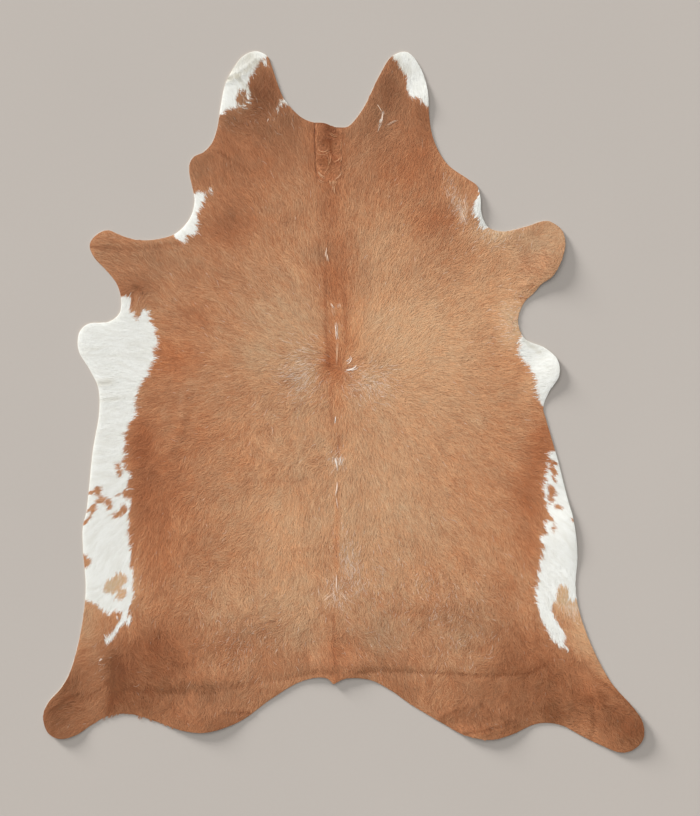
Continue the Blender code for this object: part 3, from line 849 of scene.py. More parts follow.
def blades(name, path, height, half, roll, colour, materials):
    """Pointed blades. Each carries a pair of points, half a width to either side, along its path to one tip.

    path, height and half have a row for each blade and a column for each place along it, root first.
    roll is each blade's sideways slope, and colour holds its attributes. Faces are the quads between
    pairs and a triangle at the tip.
    """
    count, pairs = len(path), path.shape[1] - 1
    each = 2 * pairs + 1
    along = np.gradient(path, axis=1)
    side = 1j * along / np.maximum(np.abs(along), 1e-6) * half
    left, right = (path + side)[:, :-1], (path - side)[:, :-1]
    rise = (half * roll[:, None])[:, :-1]
    flat_points = np.concatenate([left, right, path[:, -1:]], 1)
    z = np.concatenate([height[:, :-1] + rise, height[:, :-1] - rise, height[:, -1:]], 1)
    points = np.stack([flat_points.real, flat_points.imag, z], -1).reshape(-1, 3)
    steps = np.arange(pairs - 1)
    quads = np.stack([pairs + steps, pairs + steps + 1, steps + 1, steps], 1).ravel()
    pattern = np.append(quads, [2 * pairs - 1, 2 * pairs, pairs - 1])
    corners = (pattern + each * np.arange(count)[:, None]).ravel()
    starts = (4 * np.arange(pairs) + len(pattern) * np.arange(count)[:, None]).ravel()
    piece = new_piece(name, points, corners, starts, materials)
    share = np.linspace(0, 1, pairs + 1)
    paint(piece, along=np.tile(np.concatenate([share[:-1], share[:-1], [1]]), count),
          across=np.tile(np.concatenate([np.ones(pairs), -np.ones(pairs), [0]]), count))
    seen_from_above(piece, points, corners)
    paint(piece, **{key: np.repeat(value, each) for key, value in colour.items()})
    return piece


def scattered(low, high, spacing, random):
    """Roots on a staggered grid of rows, each moved at random by less than half a spacing."""
    x = np.arange(low.real, high.real, spacing)
    y = np.arange(low.imag, high.imag, spacing * np.sqrt(3) / 2)
    roots = x + 1j * y[:, None]
    roots[1::2] += spacing / 2
    reach = 0.45 * spacing
    return (roots + random.uniform(-reach, reach, roots.shape)
            + 1j * random.uniform(-reach, reach, roots.shape)).ravel()


# ---------------------------------------------------------------- the skin

def filled(loop, inner):
    """Points and triangles of the area inside a loop."""
    places = [Vector((p.real, p.imag)) for p in np.concatenate([loop, inner])]
    made = delaunay_2d_cdt(places, [], [list(range(len(loop)))], 1, 1e-7)
    return flat([tuple(p) for p in made[0]]), np.array(made[2])


def staggered(grid, step):
    """Rows of points over the map, every other row moved by half a step."""
    points = np.arange(grid.x[0], grid.x[-1], step) + 1j * np.arange(
        grid.y[0], grid.y[-1], step * np.sqrt(3) / 2)[:, None]
    points[1::2] += step / 2
    return points.ravel()


def skin(name, free, sewn, inside_of, step, maps, materials):
    """A sheet of leather: hair side, leaning cut edge and underside, pared thinner along the seam.

    The hair side lies a leather's and an undercoat's thickness over the underside. Its outline is the
    solid's, drawn in by the edge's lean along the free stretch alone.
    """
    grid = maps.grid
    low_loop = np.concatenate([free[:-1], sewn[:-1]])
    run = np.roll(low_loop, -1) - np.roll(low_loop, 1)
    inward = 1j * run / np.abs(run)
    ends = np.minimum(np.arange(len(free) - 1), len(free) - 1 - np.arange(len(free) - 1))
    lean = np.concatenate([EDGE_LEAN * np.clip(ends / LEAN_TAPER, 0, 1), np.zeros(len(sewn) - 1)])
    top_loop = low_loop + lean * inward
    ring = top_loop + EDGE_STEP * inward
    ring = ring[grid.read(inside_of, ring) > RING_ROOM * EDGE_STEP]
    field = staggered(grid, step)
    field = field[grid.read(inside_of, field) > FIELD_ROOM * EDGE_STEP]
    top, top_faces = filled(top_loop, np.concatenate([ring, field]))
    pared = (low_loop + SKIVE_WIDTH * inward)[len(free) - 1:]
    field = staggered(grid, UNDERSIDE_STEP)
    field = field[grid.read(inside_of, field) > UNDERSIDE_STEP / 4]
    low, low_faces = filled(low_loop, np.concatenate([pared, field]))
    thick = LEATHER + UNDERCOAT * (1 - np.exp(-np.clip(grid.read(maps.inset, top), 0, None) / COAT_SHOULDER))
    top_z = grid.read(maps.top, top) + thick
    low_z = grid.read(maps.lift, low)
    low_z[len(free) - 1:len(low_loop)] += SKIVE
    places, z = np.concatenate([top, low]), np.concatenate([top_z, low_z])
    points = np.stack([places.real, places.imag, z], 1)
    here = np.arange(len(low_loop))
    after = np.roll(here, -1)
    wall = np.stack([len(top) + here, len(top) + after, after, here], 1)
    corners = np.concatenate([top_faces.ravel(), len(top) + low_faces[:, ::-1].ravel(), wall.ravel()])
    triangles = len(top_faces) + len(low_faces)
    starts = np.concatenate([3 * np.arange(triangles), 3 * triangles + 4 * here])
    piece = new_piece(name, points, corners, starts, materials)
    slots = np.ones(len(starts), np.int32)
    slots[:len(top_faces)] = 0
    piece.data.polygons.foreach_set("material_index", slots)
    piece.data.set_sharp_from_angle(angle=np.radians(SHARP_EDGE))
    paint(piece, tone=grid.read(maps.tone, places), redness=grid.read(maps.redness, places),
          white=np.clip(0.5 + grid.read(maps.white, places) / 4, 0, 1), streak=np.full(len(places), 0.5),
          along=np.zeros(len(places)), across=np.zeros(len(places)))
    # The hair side unfolds on the left, the underside on the right, and the cut edge in a strip over them.
    scale = 0.47 / np.ptp(points[:, :2], axis=0).max()
    u, v = (0.01 + scale * (points[:, axis] - points[:, axis].min()) for axis in (0, 1))
    run = np.linspace(0.01, 0.99, len(here) + 1)
    wall_u = np.stack([run[:-1], run[1:], run[1:], run[:-1]], 1).ravel()
    wall_v = np.tile([0.9, 0.9, 0.93, 0.93], len(here))
    flat_corners = corners[:3 * triangles]
    right_half = np.where(np.arange(3 * triangles) < 3 * len(top_faces), 0, 0.5)
    unfold(piece, np.concatenate([u[flat_corners] + right_half, wall_u]),
           np.concatenate([v[flat_corners], wall_v]))
    return piece


# ---------------------------------------------------------------- the coat

def gathered_tips(tips, maps, spacing, random):
    """Where the tips of each clump draw together: one point for each cell of a jittered grid of clumps."""
    grid = maps.grid
    wander = spacing * 0.35 * (grid.read(maps.streaks, tips) + 1j * grid.read(maps.bands, tips))
    column = ((tips.real + wander.real - grid.x[0]) / spacing).astype(int)
    row = ((tips.imag + wander.imag - grid.y[0]) / spacing).astype(int)
    seeds = random.uniform(0.15, 0.85, (row.max() + 2, column.max() + 2, 2)) @ (1, 1j)
    column, row = np.clip(column, 0, None), np.clip(row, 0, None)
    return (column + 1j * row + seeds[row, column]) * spacing + complex(grid.x[0], grid.y[0])


def lock_paths(root, length, turn, maps):
    """Root, middle and tip of each lock: two straight halves, each along the hair's lay at its start."""
    read = maps.grid.read
    first = read(maps.lay, root)
    middle = root + length / 2 * first / np.abs(first) * np.exp(1j * turn)
    second = read(maps.lay, middle)
    return np.stack([root, middle, middle + length / 2 * second / np.abs(second) * np.exp(1.6j * turn)], 1)


def hair_colour(maps, place, random, lighter=0.0):
    """Tone, redness, white and streak of hairs that show at some places."""
    read, count = maps.grid.read, len(place)
    white = read(maps.white, place) + random.uniform(-WHITE_JITTER, WHITE_JITTER, count)
    pale = PALE_WHITE * (random.random(count) < read(maps.pale, place))
    streaks, bands = STREAK_TONE * read(maps.streaks, place), BAND_TONE * read(maps.bands, place)
    return {
        "tone": read(maps.tone, place) + streaks + bands + lighter,
        "redness": read(maps.redness, place) + random.normal(0, REDNESS_SPREAD, count),
        "white": np.maximum(np.clip(0.5 + white / 2, 0, 1), pale), "streak": random.random(count)}


def comb_coat(settings, maps, materials):
    """The whole coat: locks scattered over the hide, combed, drawn into clumps and trimmed at its edges.

    About one lock in seven lies more askew than the rest.
    """
    random = np.random.default_rng(settings.seed + 100)
    grid, read = maps.grid, maps.grid.read
    root = scattered(grid.places[0, 0], grid.places[-1, -1], settings.spacing / MM, random)
    root = root[(read(maps.inset, root) > EDGE_LEAN + ROOT_ROOM) & (read(maps.crown, root) < -CROWN_ROOM)]
    ruffle = read(maps.ruffle, root)
    share = EDGE_LENGTH + LENGTH_GAIN * (1 - np.exp(-read(maps.inset, root) / GAIN_REACH))
    length = settings.length / MM * share * random.uniform(*LENGTH_SPREAD, len(root))
    turn = np.radians(CALM_TURN + RUFFLED_TURN * ruffle) * random.standard_normal(len(root))
    turn *= np.where(random.random(len(root)) < ASKEW_SHARE, ASKEW, 1)
    overlap = np.where(root.real < CROWN_LEFT, -SEAM_ROOM, CROWN_OVERLAP)
    pull = random.uniform(0, 0.6, len(root)) * settings.clumping
    uneven = np.clip(read(maps.streaks, root), 0, 1.5)
    path = lock_paths(root, length, turn, maps)
    meeting = gathered_tips(path[:, 2], maps, settings.clump_size / MM, random)
    for _ in range(TRIMS):
        path = lock_paths(root, length, turn, maps)
        path[:, 2] += pull * (meeting - path[:, 2]) * np.clip(length / (settings.length / MM), 0, 1)
        tip = path[:, 2]
        fray = sum(row.overhang * bell(tip, row) for row in FRAYS) * uneven
        out = (read(maps.inset, tip) < EDGE_LEAN - TIP_OVERHANG - fray) | (read(maps.crown, tip) > overlap)
        length = np.where(out, TRIM * length, length)
        pull = np.where(out, 0.5 * pull, pull)
    root, path = root[~out], path[~out]
    count = len(root)
    level = random.uniform(*LEVEL_SPREAD, count)[:, None] + np.array(LEVEL_CHANGE)
    height = read(maps.top, path) + LEATHER + coat_depth(read(maps.inset, path)) * level
    half = settings.width / MM / 2 * np.array(LOCK_SHAPE) * random.uniform(*WIDTH_SPREAD, count)[:, None]
    roll = np.tan(settings.roll * random.uniform(-1, 1, count))
    colour = hair_colour(maps, root + COLOUR_PLACE * (path[:, 2] - root), random)
    order = np.argsort(root.imag)[::-1]
    for name, chosen in zip(COAT_PIECES, np.array_split(order, len(COAT_PIECES))):
        own = {key: value[chosen] for key, value in colour.items()}
        piece = blades(name, path[chosen], height[chosen], half[chosen], roll[chosen], own, materials)


def set_guard_hairs(settings, maps, materials):
    """Single longer hairs that lie over the coat in shallow curves, most of them paler than it."""
    random = np.random.default_rng(settings.seed + 400)
    grid, read = maps.grid, maps.grid.read
    root = scattered(grid.places[0, 0], grid.places[-1, -1], settings.guard_spacing / MM, random)
    root = root[(read(maps.inset, root) > 6) & (read(maps.crown, root) < -3) & (read(maps.white, root) < -4)]
    count, places = len(root), 4
    step = settings.length / MM * random.uniform(0.8, 1.6, count) / (places - 1)
    ruffle = read(maps.ruffle, root)
    turn = np.radians(10 + 22 * ruffle) * random.standard_normal(count)
    bend = np.radians(12 + 26 * ruffle) * random.standard_normal(count)
    path = root[:, None].repeat(places, 1)
    for place in range(1, places):
        here = path[:, place - 1]
        lay = read(maps.lay, here)
        path[:, place] = here + step * lay / np.abs(lay) * np.exp(1j * (turn + bend * (place - 2)))
    path = path[(read(maps.inset, path).min(1) > EDGE_LEAN + 1) & (read(maps.crown, path).max(1) < 0)]
    count = len(path)
    level = 0.5 + 0.4 * np.sin(np.pi * np.clip(0.2 + 0.6 * np.linspace(0, 1, places), 0, 1))
    height = read(maps.top, path) + LEATHER + coat_depth(read(maps.inset, path)) * level
    breadth = np.array([0.5, 0.75, 0.65, 0.0])
    half = settings.width / MM / 2 * breadth * random.uniform(0.7, 1.2, count)[:, None]
    roll = random.uniform(-0.1, 0.1, count)
    lighter = settings.guard_lightness * random.choice([1.0, 1.4, -0.7], count, p=[0.55, 0.2, 0.25])
    colour = hair_colour(maps, path[:, 2], random, lighter)
    piece = blades("guard_hairs", path, height, half, roll, colour, materials)


def set_tufts(settings, maps, materials):
    """Long pale hairs: arcs of the table's bend, side by side, lying just over the coat."""
    random = np.random.default_rng(settings.seed + 200)
    read = maps.grid.read
    rows = np.repeat(np.array(TUFTS), [tuft.hairs for tuft in TUFTS], axis=0)
    x, y, length, heading, bend, _, white = rows.T
    count, places = len(rows), 7
    length = length * random.uniform(0.7, 1.05, count)
    share = np.linspace(0, 1, places)
    bend = bend * random.uniform(0.8, 1.2, count)
    heading = heading + random.normal(0, 5, count)
    angle = np.radians(heading[:, None] + bend[:, None] * (share - 0.5))
    middle = x + 1j * y + random.normal(0, 2.5, count) + 1j * random.normal(0, 2.5, count)
    step = np.exp(1j * angle) * (length / (places - 1))[:, None]
    path = np.cumsum(step, 1) - step / 2
    path = path - path.mean(1, keepdims=True) + middle[:, None]
    kept = read(maps.inset, path).min(1) > EDGE_LEAN + 1
    path, white, count = path[kept], white[kept], np.count_nonzero(kept)
    height = read(maps.top, path) + LEATHER + COAT + np.sin(np.pi * share) * 1.2 - 0.6
    half = np.sin(np.pi * np.clip(share * 0.85 + 0.1, 0, 1)) * (
        random.uniform(0.4, 0.7, count) + 0.3 * white)[:, None]
    roll = random.uniform(-0.3, 0.3, count)
    colour = {
        "tone": np.clip(0.78 + white, 0, 1), "redness": np.full(count, -0.1),
        "white": np.clip(white * random.uniform(0.8, 1.1, count), 0, 1), "streak": random.random(count)}
    piece = blades("pale_tufts", path, height, half, roll, colour, materials)


def curl_crown(settings, maps, materials):
    """The insert's hair: locks that run round its small whorls, and downwards between them."""
    random = np.random.default_rng(settings.seed + 300)
    grid, read = maps.grid, maps.grid.read
    inside = grid.places[maps.crown > 0]
    low, high = (complex(edge(inside.real), edge(inside.imag)) for edge in (np.min, np.max))
    root = scattered(low, high, CURL_SPACING, random)
    root = root[(read(maps.crown, root) > 0.6) & (read(maps.inset, root) > EDGE_LEAN + ROOT_ROOM)]
    count, places = len(root), 5
    step = random.uniform(2.6, 4.0, count)
    path = root[:, None].repeat(places, 1)
    for place in range(1, places):
        here = path[:, place - 1]
        heading = 0.15 * np.exp(-1j * np.radians(90 + 20 * np.sin(2 * np.pi * here.imag / CURL_WAVE)))
        for whorl in CROWN_WHORLS:
            far = here - complex(whorl.x, whorl.y)
            heading = heading + whorl.way * bell(here, whorl) * 1j * far / np.maximum(np.abs(far), 1)
        moved = here + step * heading / np.maximum(np.abs(heading), 0.1)
        held = (read(maps.crown, moved) < 0.2) | (read(maps.inset, moved) < EDGE_LEAN - 0.5)
        path[:, place] = np.where(held, here + 0.15 * (moved - here), moved)
    level = 0.35 + 0.4 * np.linspace(0, 1, places) * random.uniform(0.6, 1.2, count)[:, None]
    height = read(maps.top, path) + LEATHER + coat_depth(read(maps.inset, path)) * level
    half = np.array([0.8, 1.0, 0.95, 0.7, 0.0]) * random.uniform(0.8, 1.2, count)[:, None]
    roll = random.uniform(-0.25, 0.25, count)
    colour = {
        "tone": read(maps.tone, root) + 0.02 * read(maps.streaks, root),
        "redness": read(maps.redness, root), "white": np.zeros(count), "streak": random.random(count)}
    piece = blades("crown_curls", path, height, half, roll, colour, materials)
    return piece


def sew_seam(maps, material):
    """The seam's thread: a tube carried along a zigzag over the seam, in the pared groove underneath."""
    seam = evenly(outlines().hide_sewn, ZIGZAG_STEP)
    run = np.gradient(seam)
    side = 1j * run / np.abs(run)
    swing = ZIGZAG_SWING * np.where(np.arange(len(seam)) % 2, 1, -1)
    middle = smooth_path((seam + swing * side)[1:-1], 3)
    ahead = np.gradient(middle)
    left = 1j * ahead / np.abs(ahead)
    sides = THREAD_SIDES
    turn = 2 * np.pi * np.arange(sides) / sides
    ring = middle[:, None] + THREAD_RADIUS * np.cos(turn) * left[:, None]
    rise = THREAD_RADIUS + THREAD_ROOM + THREAD_RADIUS * np.sin(turn)
    z = rise + maps.grid.read(maps.lift, middle)[:, None]
    points = np.stack([ring.real, ring.imag, z], -1).reshape(-1, 3)
    rows = np.arange(len(middle) - 1)[:, None] * sides
    here, after = np.arange(sides), np.roll(np.arange(sides), -1)
    quads = np.stack([rows + here, rows + after, rows + sides + after, rows + sides + here], -1).reshape(-1)
    caps = np.concatenate([here[::-1], (len(middle) - 1) * sides + here])
    corners = np.concatenate([quads, caps])
    starts = np.concatenate([np.arange(0, len(quads), 4), len(quads) + np.array([0, sides])])
    piece = new_piece("seam_thread", points, corners, starts, [material])


# ---------------------------------------------------------------- materials

def srgb(*levels):
    """A colour given as display levels from 0 to 255, as the linear colour a shader takes."""
    level = np.array(levels) / 255
    return tuple(np.where(level > 0.04045, ((level + 0.055) / 1.055) ** 2.4, level / 12.92))


def add_node(tree, kind, inputs=(), **settings):
    """A node with its settings, and its inputs set to a value or linked to another node's output."""
    node = tree.nodes.new(kind)
    for name, value in settings.items():
        setattr(node, name, value)
    for name, value in dict(inputs).items():
        if isinstance(value, bpy.types.NodeSocket):
            tree.links.new(value, node.inputs[name])
        else:
            node.inputs[name].default_value = value
    return node


def sum_of(tree, *terms):
    """The sum of terms, each a socket or a number, or a pair of them that is multiplied first."""
    total = 0.0
    for term in terms:
        first, second = term if isinstance(term, tuple) else (term, 1.0)
        inputs = {0: first, 1: second, 2: total}
        total = add_node(tree, "ShaderNodeMath", inputs, operation="MULTIPLY_ADD").outputs[0]
    return total


def blend_of(tree, share, first, second, kind="MIX"):
    """A mix of two colours by a share that is kept between 0 and 1."""
    inputs = {0: share, 6: first, 7: second}
    return add_node(tree, "ShaderNodeMix", inputs, data_type="RGBA", blend_type=kind).outputs[2]


def new_group(name, inputs, outputs):
    """An empty node group with named inputs and outputs, and the sockets that they have inside it."""
    tree = bpy.data.node_groups.new(name, "ShaderNodeTree")
    for way, sockets in (("INPUT", inputs), ("OUTPUT", outputs)):
        for label, kind in sockets.items():
            tree.interface.new_socket(name=label, in_out=way, socket_type="NodeSocket" + kind)
    return tree, tree.nodes.new("NodeGroupInput").outputs, tree.nodes.new("NodeGroupOutput").inputs


def noise_of(tree, place, **inputs):
    """The value of smooth noise at a place."""
    return add_node(tree, "ShaderNodeTexNoise", {"Vector": place, **inputs}).outputs["Fac"]


@cache
def coat_colour_group():
    """The colour of hair: tone picks it between three browns, redness tints it, and white covers it.

    Roots are deeper than tips, locks differ a little, and fine strands run along each lock.
    """
    numbers = ("Tone", "Redness", "White", "Streak", "Along", "Across", "Lock Contrast", "Tip Lightness",
               "Strand Contrast")
    colours = ("Deep", "Mid", "Light", "White Hair", "White Root")
    tree, given, out = new_group(
        "coat colour", dict.fromkeys(numbers, "Float") | dict.fromkeys(colours, "Color"),
        {"Color": "Color"})
    strand_place = add_node(tree, "ShaderNodeCombineXYZ", {
        "X": sum_of(tree, (given["Across"], 3.0), (given["Streak"], 90.0)),
        "Y": sum_of(tree, (given["Along"], 1.5)), "Z": sum_of(tree, (given["Streak"], 37.0))}).outputs[0]
    strand = noise_of(tree, strand_place, Scale=1.0, Detail=1.0)
    place = add_node(tree, "ShaderNodeTexCoord").outputs["Object"]
    mottle = noise_of(tree, place, Scale=22.0, Detail=3.0, Roughness=0.6)
    from_middle = {name: sum_of(tree, (socket, 1.0), -0.5) for name, socket in (
        ("strand", strand), ("mottle", mottle), ("streak", given["Streak"]), ("along", given["Along"]))}
    own = sum_of(tree, (from_middle["strand"], given["Strand Contrast"]),
                 (from_middle["streak"], given["Lock Contrast"]),
                 (from_middle["along"], given["Tip Lightness"]))
    tone = sum_of(tree, given["Tone"], own, (from_middle["mottle"], 0.08))
    lower = blend_of(tree, sum_of(tree, (tone, 2.0)), given["Deep"], given["Mid"])
    brown = blend_of(tree, sum_of(tree, (tone, 2.0), -1.0), lower, given["Light"])
    tint = blend_of(tree, sum_of(tree, (given["Redness"], 0.25), 0.5), (0.89, 1.04, 1.20, 1),
                    (1.21, 0.88, 0.67, 1))
    brown = blend_of(tree, 1.0, brown, tint, "MULTIPLY")
    # Painted shade on the white: where the painted fold shade lowers the tone, the white turns towards the
    # root's colour. Lock, strand and root differences move it too.
    shaded = sum_of(tree, 0.92, (own, 0.4), (given["Tone"], 2.5), -2.5 * BASE_TONE)
    white = blend_of(tree, shaded, given["White Root"], given["White Hair"])
    tree.links.new(blend_of(tree, given["White"], brown, white), out["Color"])
    return tree


def new_material(name):
    """A material, its node tree and its Principled shader."""
    material = bpy.data.materials.new(name)
    material.use_nodes = True
    return material, material.node_tree, material.node_tree.nodes["Principled BSDF"]


def coat_material(name, settings, depth=1.0):
    """Short glossy hair. Depth below one darkens its browns: painted shade for the undercoat, which shows in
    the gaps between the locks.
    """
    material, tree, shader = new_material(name)
    inputs = {label: add_node(tree, "ShaderNodeAttribute", attribute_name=label.lower()).outputs["Fac"]
              for label in ("Tone", "Redness", "White", "Streak", "Along", "Across")}
    inputs |= {
        "Lock Contrast": settings.lock_contrast, "Tip Lightness": settings.tip_lightness,
        "Strand Contrast": settings.strand_contrast,
        "White Hair": (*settings.white_hair, 1), "White Root": (*settings.white_root, 1)}
    for label, brown in (("Deep", settings.deep), ("Mid", settings.mid), ("Light", settings.light)):
        inputs[label] = (*(depth * level for level in brown), 1)
    colour = add_node(tree, "ShaderNodeGroup", inputs, node_tree=coat_colour_group())
    tree.links.new(colour.outputs["Color"], shader.inputs["Base Color"])
    shader.inputs["Roughness"].default_value = settings.roughness
    shader.inputs["Specular IOR Level"].default_value = settings.gloss
    return material


@cache
def nap_group():
    """Brushed leather: a cloudy mix of two colours, and the height of its short nap."""
    tree, given, out = new_group(
        "leather nap", {"Pale": "Color", "Deep": "Color", "Scale": "Float"},
        {"Color": "Color", "Height": "Float"})
    place = add_node(tree, "ShaderNodeTexCoord").outputs["Object"]
    cloud = noise_of(tree, place, Scale=given["Scale"], Detail=4.0)
    nap = noise_of(tree, place, Scale=sum_of(tree, (given["Scale"], 60.0)), Detail=2.0)
    mixed = sum_of(tree, (cloud, 1.4), (nap, 0.5), -0.45)
    tree.links.new(blend_of(tree, mixed, given["Deep"], given["Pale"]), out["Color"])
    tree.links.new(sum_of(tree, (cloud, 0.3), (nap, 0.7)), out["Height"])
    return tree


def leather_material(name, pale, deep, scale, bump):
    """Matt leather or thread with a nap."""
    material, tree, shader = new_material(name)
    nap = add_node(tree, "ShaderNodeGroup", {"Pale": (*pale, 1), "Deep": (*deep, 1), "Scale": scale},
                   node_tree=nap_group())
    raised = add_node(tree, "ShaderNodeBump", {
        "Height": nap.outputs["Height"], "Strength": 0.6, "Distance": bump})
    tree.links.new(nap.outputs["Color"], shader.inputs["Base Color"])
    tree.links.new(raised.outputs[0], shader.inputs["Normal"])
    shader.inputs["Roughness"].default_value = 0.9
    return material


# ---------------------------------------------------------------- settings

def number_setting(name, description, value, **more):
    """A number that a user can change."""
    return bpy.props.FloatProperty(name=name, description=description, default=value, **more)


def length_setting(name, description, millimetres):
    """A length, given in millimetres and kept in metres."""
    return number_setting(
        name, description, millimetres * MM, min=0.0, unit="LENGTH", subtype="DISTANCE", precision=5)


def share_setting(name, description, value):
    """A share, from none to all."""
    return number_setting(name, description, value, min=0.0, max=1.0)


def colour_setting(name, description, *levels):
    """A colour, given as display levels."""
    return bpy.props.FloatVectorProperty(
        name=name, description=description, default=srgb(*levels), size=3, min=0.0, max=1.0,
        subtype="COLOR")


class CoatSettings(bpy.types.PropertyGroup):
    """Sizes and colours of the hair."""
    spacing: length_setting("Root spacing", "Distance between the roots of locks", 3.5)
    length: length_setting("Lock length", "Length of a lock in the middle of the hide", 21.0)
    width: length_setting("Lock width", "Width of a lock at its middle", 1.5)
    clump_size: length_setting("Clump size", "Distance between the tips of clumps", 8.0)
    clumping: share_setting("Clumping", "How far tips draw together into clumps", 0.5)
    roll: number_setting("Roll", "How far a lock may tilt sideways", np.radians(2.5), subtype="ANGLE")
    guard_spacing: length_setting("Guard hair spacing", "Distance between long single hairs", 10.0)
    guard_lightness: share_setting("Guard hair lightness", "How much paler they are than the coat", 0.09)
    seed: bpy.props.IntProperty(name="Seed", description="Another number gives another coat", default=7)
    lock_contrast: share_setting("Lock contrast", "Difference in tone between neighbouring locks", 0.20)
    tip_lightness: share_setting("Tip lightness", "How much paler a tip is than its root", 0.18)
    strand_contrast: share_setting("Strand contrast", "Difference in tone between strands of a lock", 0.18)
    roughness: share_setting("Roughness", "Roughness of the hair", 0.55)
    gloss: share_setting("Gloss", "Strength of the hair's highlight", 0.35)
    deep: colour_setting("Deep brown", "Darkest hair", 130, 78, 40)
    mid: colour_setting("Middle brown", "Hair of middling tone", 180, 125, 84)
    light: colour_setting("Light tan", "Palest brown hair", 225, 181, 135)
    white_hair: colour_setting("White hair", "White markings", 250, 250, 244)
    # White root is also the colour that the painted fold shade turns the white to.
    white_root: colour_setting("White root", "White markings between the locks", 208, 202, 184)


class LeatherSettings(bpy.types.PropertyGroup):
    """Colours of the leather and the thread."""
    pale: colour_setting("Pale leather", "Cut edge and raised nap", 200, 187, 168)
    deep: colour_setting("Deep leather", "Clouds in the suede", 182, 167, 145)
    thread_pale: colour_setting("Thread", "Sewing thread", 196, 170, 132)
    thread_deep: colour_setting("Thread shade", "Darker ply of the thread", 138, 108, 74)


class StageSettings(bpy.types.PropertyGroup):
    """Floor, light and camera."""
    floor_size: length_setting("Floor size", "Side of the square floor", 9000.0)
    floor: colour_setting("Floor", "Plain floor", 193, 185, 177)
    camera_height: length_setting("Camera height", "Camera over the floor", 6914.0)
    lens: number_setting("Lens", "Focal length in millimetres", 100.0)
    key_strength: number_setting("Key light", "Strength of the low soft light", 5.5)
    top_strength: number_setting("Top light", "Strength of the high soft light", 1.19)
    fill_strength: number_setting("Fill light", "Strength of the surroundings", 0.28)


# ---------------------------------------------------------------- operators

class COWHIDE_OT_comb_coat(bpy.types.Operator):
    """Comb the short hair over the whole hide, in five pieces from head to rump."""
    bl_idname = "cowhide.comb_coat"
    bl_label = "Comb Coat"

    def execute(self, context):
        settings = context.scene.cowhide_coat
        comb_coat(settings, hide_maps(settings.seed), [coat_material("coat_hair", settings)])
        return {"FINISHED"}


class COWHIDE_OT_set_guard_hairs(bpy.types.Operator):
    """Set single longer hairs over the coat."""
    bl_idname = "cowhide.set_guard_hairs"
    bl_label = "Set Guard Hairs"

    def execute(self, context):
        settings = context.scene.cowhide_coat
        set_guard_hairs(settings, hide_maps(settings.seed), [coat_material("guard_hair", settings)])
        return {"FINISHED"}


class COWHIDE_OT_set_tufts(bpy.types.Operator):
    """Set the long pale hairs along the spine and in the markings."""
    bl_idname = "cowhide.set_tufts"
    bl_label = "Set Pale Tufts"

    def execute(self, context):
        settings = context.scene.cowhide_coat
        set_tufts(settings, hide_maps(settings.seed), [coat_material("pale_hair", settings)])
        return {"FINISHED"}


class COWHIDE_OT_lay_skin(bpy.types.Operator):
    """Lay the hide's leather under its coat."""
    bl_idname = "cowhide.lay_skin"
    bl_label = "Lay Skin"

    def execute(self, context):
        coat, leather = context.scene.cowhide_coat, context.scene.cowhide_leather
        maps, lines = hide_maps(coat.seed), outlines()
        suede = leather_material("suede", leather.pale, leather.deep, *SUEDE)
        on_hide = np.where(maps.crown > 0, -1, np.minimum(maps.inset, -maps.crown))
        # The undercoat's browns are darkened to 0.92: painted shade in the gaps between the locks.
        piece = skin("hide_skin", lines.hide_free, lines.hide_sewn, on_hide, HIDE_STEP, maps,
                     [coat_material("undercoat", coat, 0.92), suede])
        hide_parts("hide")
        return {"FINISHED"}


class COWHIDE_OT_fit_crown(bpy.types.Operator):
    """Fit the crown insert into its notch, with its curled hair."""
    bl_idname = "cowhide.fit_crown"
    bl_label = "Fit Crown Insert"

    def execute(self, context):
        coat, leather = context.scene.cowhide_coat, context.scene.cowhide_leather
        maps, lines = hide_maps(coat.seed), outlines()
        curls = curl_crown(coat, maps, [coat_material("crown_hair", coat)])
        suede = leather_material("crown_suede", leather.pale, leather.deep, *SUEDE)
        # The insert's undercoat browns are darkened to 0.85: painted shade in the gaps between its locks.
        piece = skin("crown_skin", lines.crown_free, lines.crown_sewn, maps.crown, CROWN_STEP, maps,
                     [coat_material("crown_undercoat", coat, 0.85), suede])
        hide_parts("crown_insert")
        return {"FINISHED"}


class COWHIDE_OT_sew_seam(bpy.types.Operator):
    """Sew the insert to the hide with a zigzag underneath."""
    bl_idname = "cowhide.sew_seam"
    bl_label = "Sew Seam"

    def execute(self, context):
        leather = context.scene.cowhide_leather
        thread = leather_material("thread", leather.thread_pale, leather.thread_deep, *THREAD_PLY)
        sew_seam(hide_maps(context.scene.cowhide_coat.seed), thread)
        return {"FINISHED"}


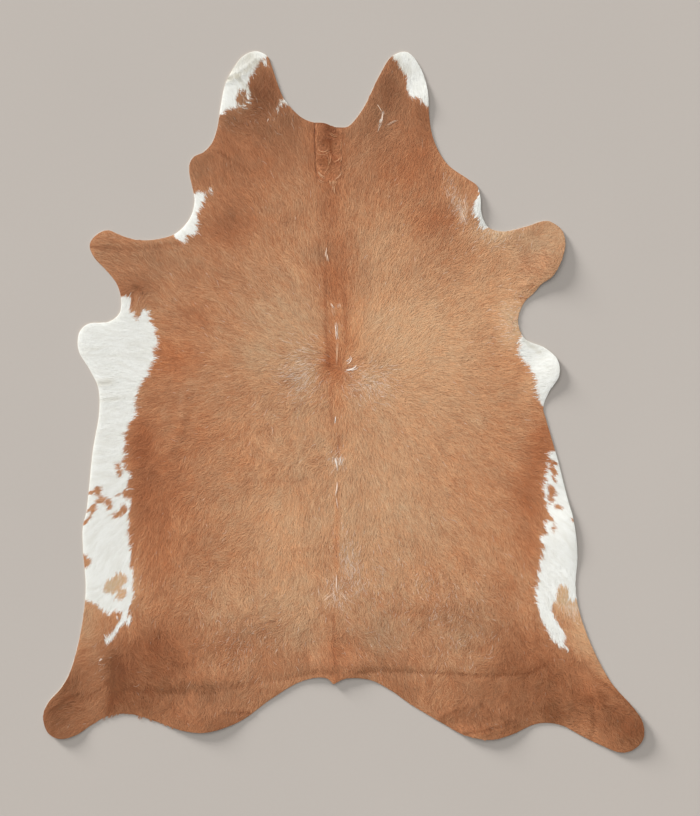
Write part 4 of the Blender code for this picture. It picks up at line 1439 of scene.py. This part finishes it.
class COWHIDE_OT_set_stage(bpy.types.Operator):
    """Set the floor, the lights and the camera."""
    bl_idname = "cowhide.set_stage"
    bl_label = "Set Stage"

    def execute(self, context):
        stage, scene = context.scene.cowhide_stage, context.scene
        half = stage.floor_size / 2
        mesh = bpy.data.meshes.new("floor")
        corners = [(x * half, y * half, -FLOOR_DROP) for x, y in ((-1, -1), (1, -1), (1, 1), (-1, 1))]
        mesh.from_pydata(corners, [], [(0, 1, 2, 3)])
        floor = bpy.data.objects.new("floor", mesh)
        mesh.materials.append(leather_material(
            "floor", stage.floor, [0.96 * c for c in stage.floor], *FLOOR_GRAIN))
        scene.collection.objects.link(floor)
        for name, turn, elevation, spread, strength in (
                ("key_light", 135, 12, 15, stage.key_strength),
                ("top_light", 120, 68, 60, stage.top_strength)):
            light = bpy.data.lights.new(name, "SUN")
            light.angle, light.energy = np.radians(spread), strength
            lamp = bpy.data.objects.new(name, light)
            around, up = np.radians(turn), np.radians(elevation)
            towards = Vector((np.cos(around) * np.cos(up), np.sin(around) * np.cos(up), np.sin(up)))
            lamp.rotation_euler = towards.to_track_quat("Z", "Y").to_euler()
            lamp.location = 5 * towards
            scene.collection.objects.link(lamp)
        world = bpy.data.worlds.new("studio")
        world.use_nodes = True
        sky = world.node_tree.nodes["Background"]
        sky.inputs["Color"].default_value = (1.0, 1.0, 1.0, 1)
        sky.inputs["Strength"].default_value = stage.fill_strength
        scene.world = world
        camera = bpy.data.cameras.new("camera")
        camera.lens, camera.sensor_width = stage.lens, 36.0
        camera.clip_end = 30.0
        holder = bpy.data.objects.new("camera", camera)
        holder.location = (*CAMERA_PLACE, stage.camera_height)
        scene.collection.objects.link(holder)
        scene.camera = holder
        scene.view_settings.view_transform = "Standard"
        return {"FINISHED"}


STEPS = (COWHIDE_OT_comb_coat, COWHIDE_OT_set_guard_hairs, COWHIDE_OT_set_tufts, COWHIDE_OT_lay_skin,
         COWHIDE_OT_fit_crown, COWHIDE_OT_sew_seam, COWHIDE_OT_set_stage)
GROUPS = {"cowhide_coat": CoatSettings, "cowhide_leather": LeatherSettings, "cowhide_stage": StageSettings}


class COWHIDE_PT_rug(bpy.types.Panel):
    """Buttons for the pieces of the rug, and their sizes and colours."""
    bl_idname = "COWHIDE_PT_rug"
    bl_label = "Cowhide Rug"
    bl_space_type = "VIEW_3D"
    bl_region_type = "UI"
    bl_category = "Cowhide"

    def draw(self, context):
        for step in STEPS:
            self.layout.operator(step.bl_idname)
        for name in GROUPS:
            box = self.layout.box()
            settings = getattr(context.scene, name)
            for field in settings.bl_rna.properties.keys()[2:]:
                box.prop(settings, field)


def register():
    """Tells Blender of the settings, the operators and the panel."""
    for group in (*GROUPS.values(), *STEPS, COWHIDE_PT_rug):
        bpy.utils.register_class(group)
    for name, group in GROUPS.items():
        setattr(bpy.types.Scene, name, bpy.props.PointerProperty(type=group))


def unregister():
    """Takes them away again."""
    for name in GROUPS:
        delattr(bpy.types.Scene, name)
    for group in reversed((*GROUPS.values(), *STEPS, COWHIDE_PT_rug)):
        bpy.utils.unregister_class(group)


def main():
    """Makes every piece in order."""
    register()
    for step in STEPS:
        getattr(bpy.ops.cowhide, step.bl_idname.split(".")[1])()


if __name__ == "__main__":
    main()
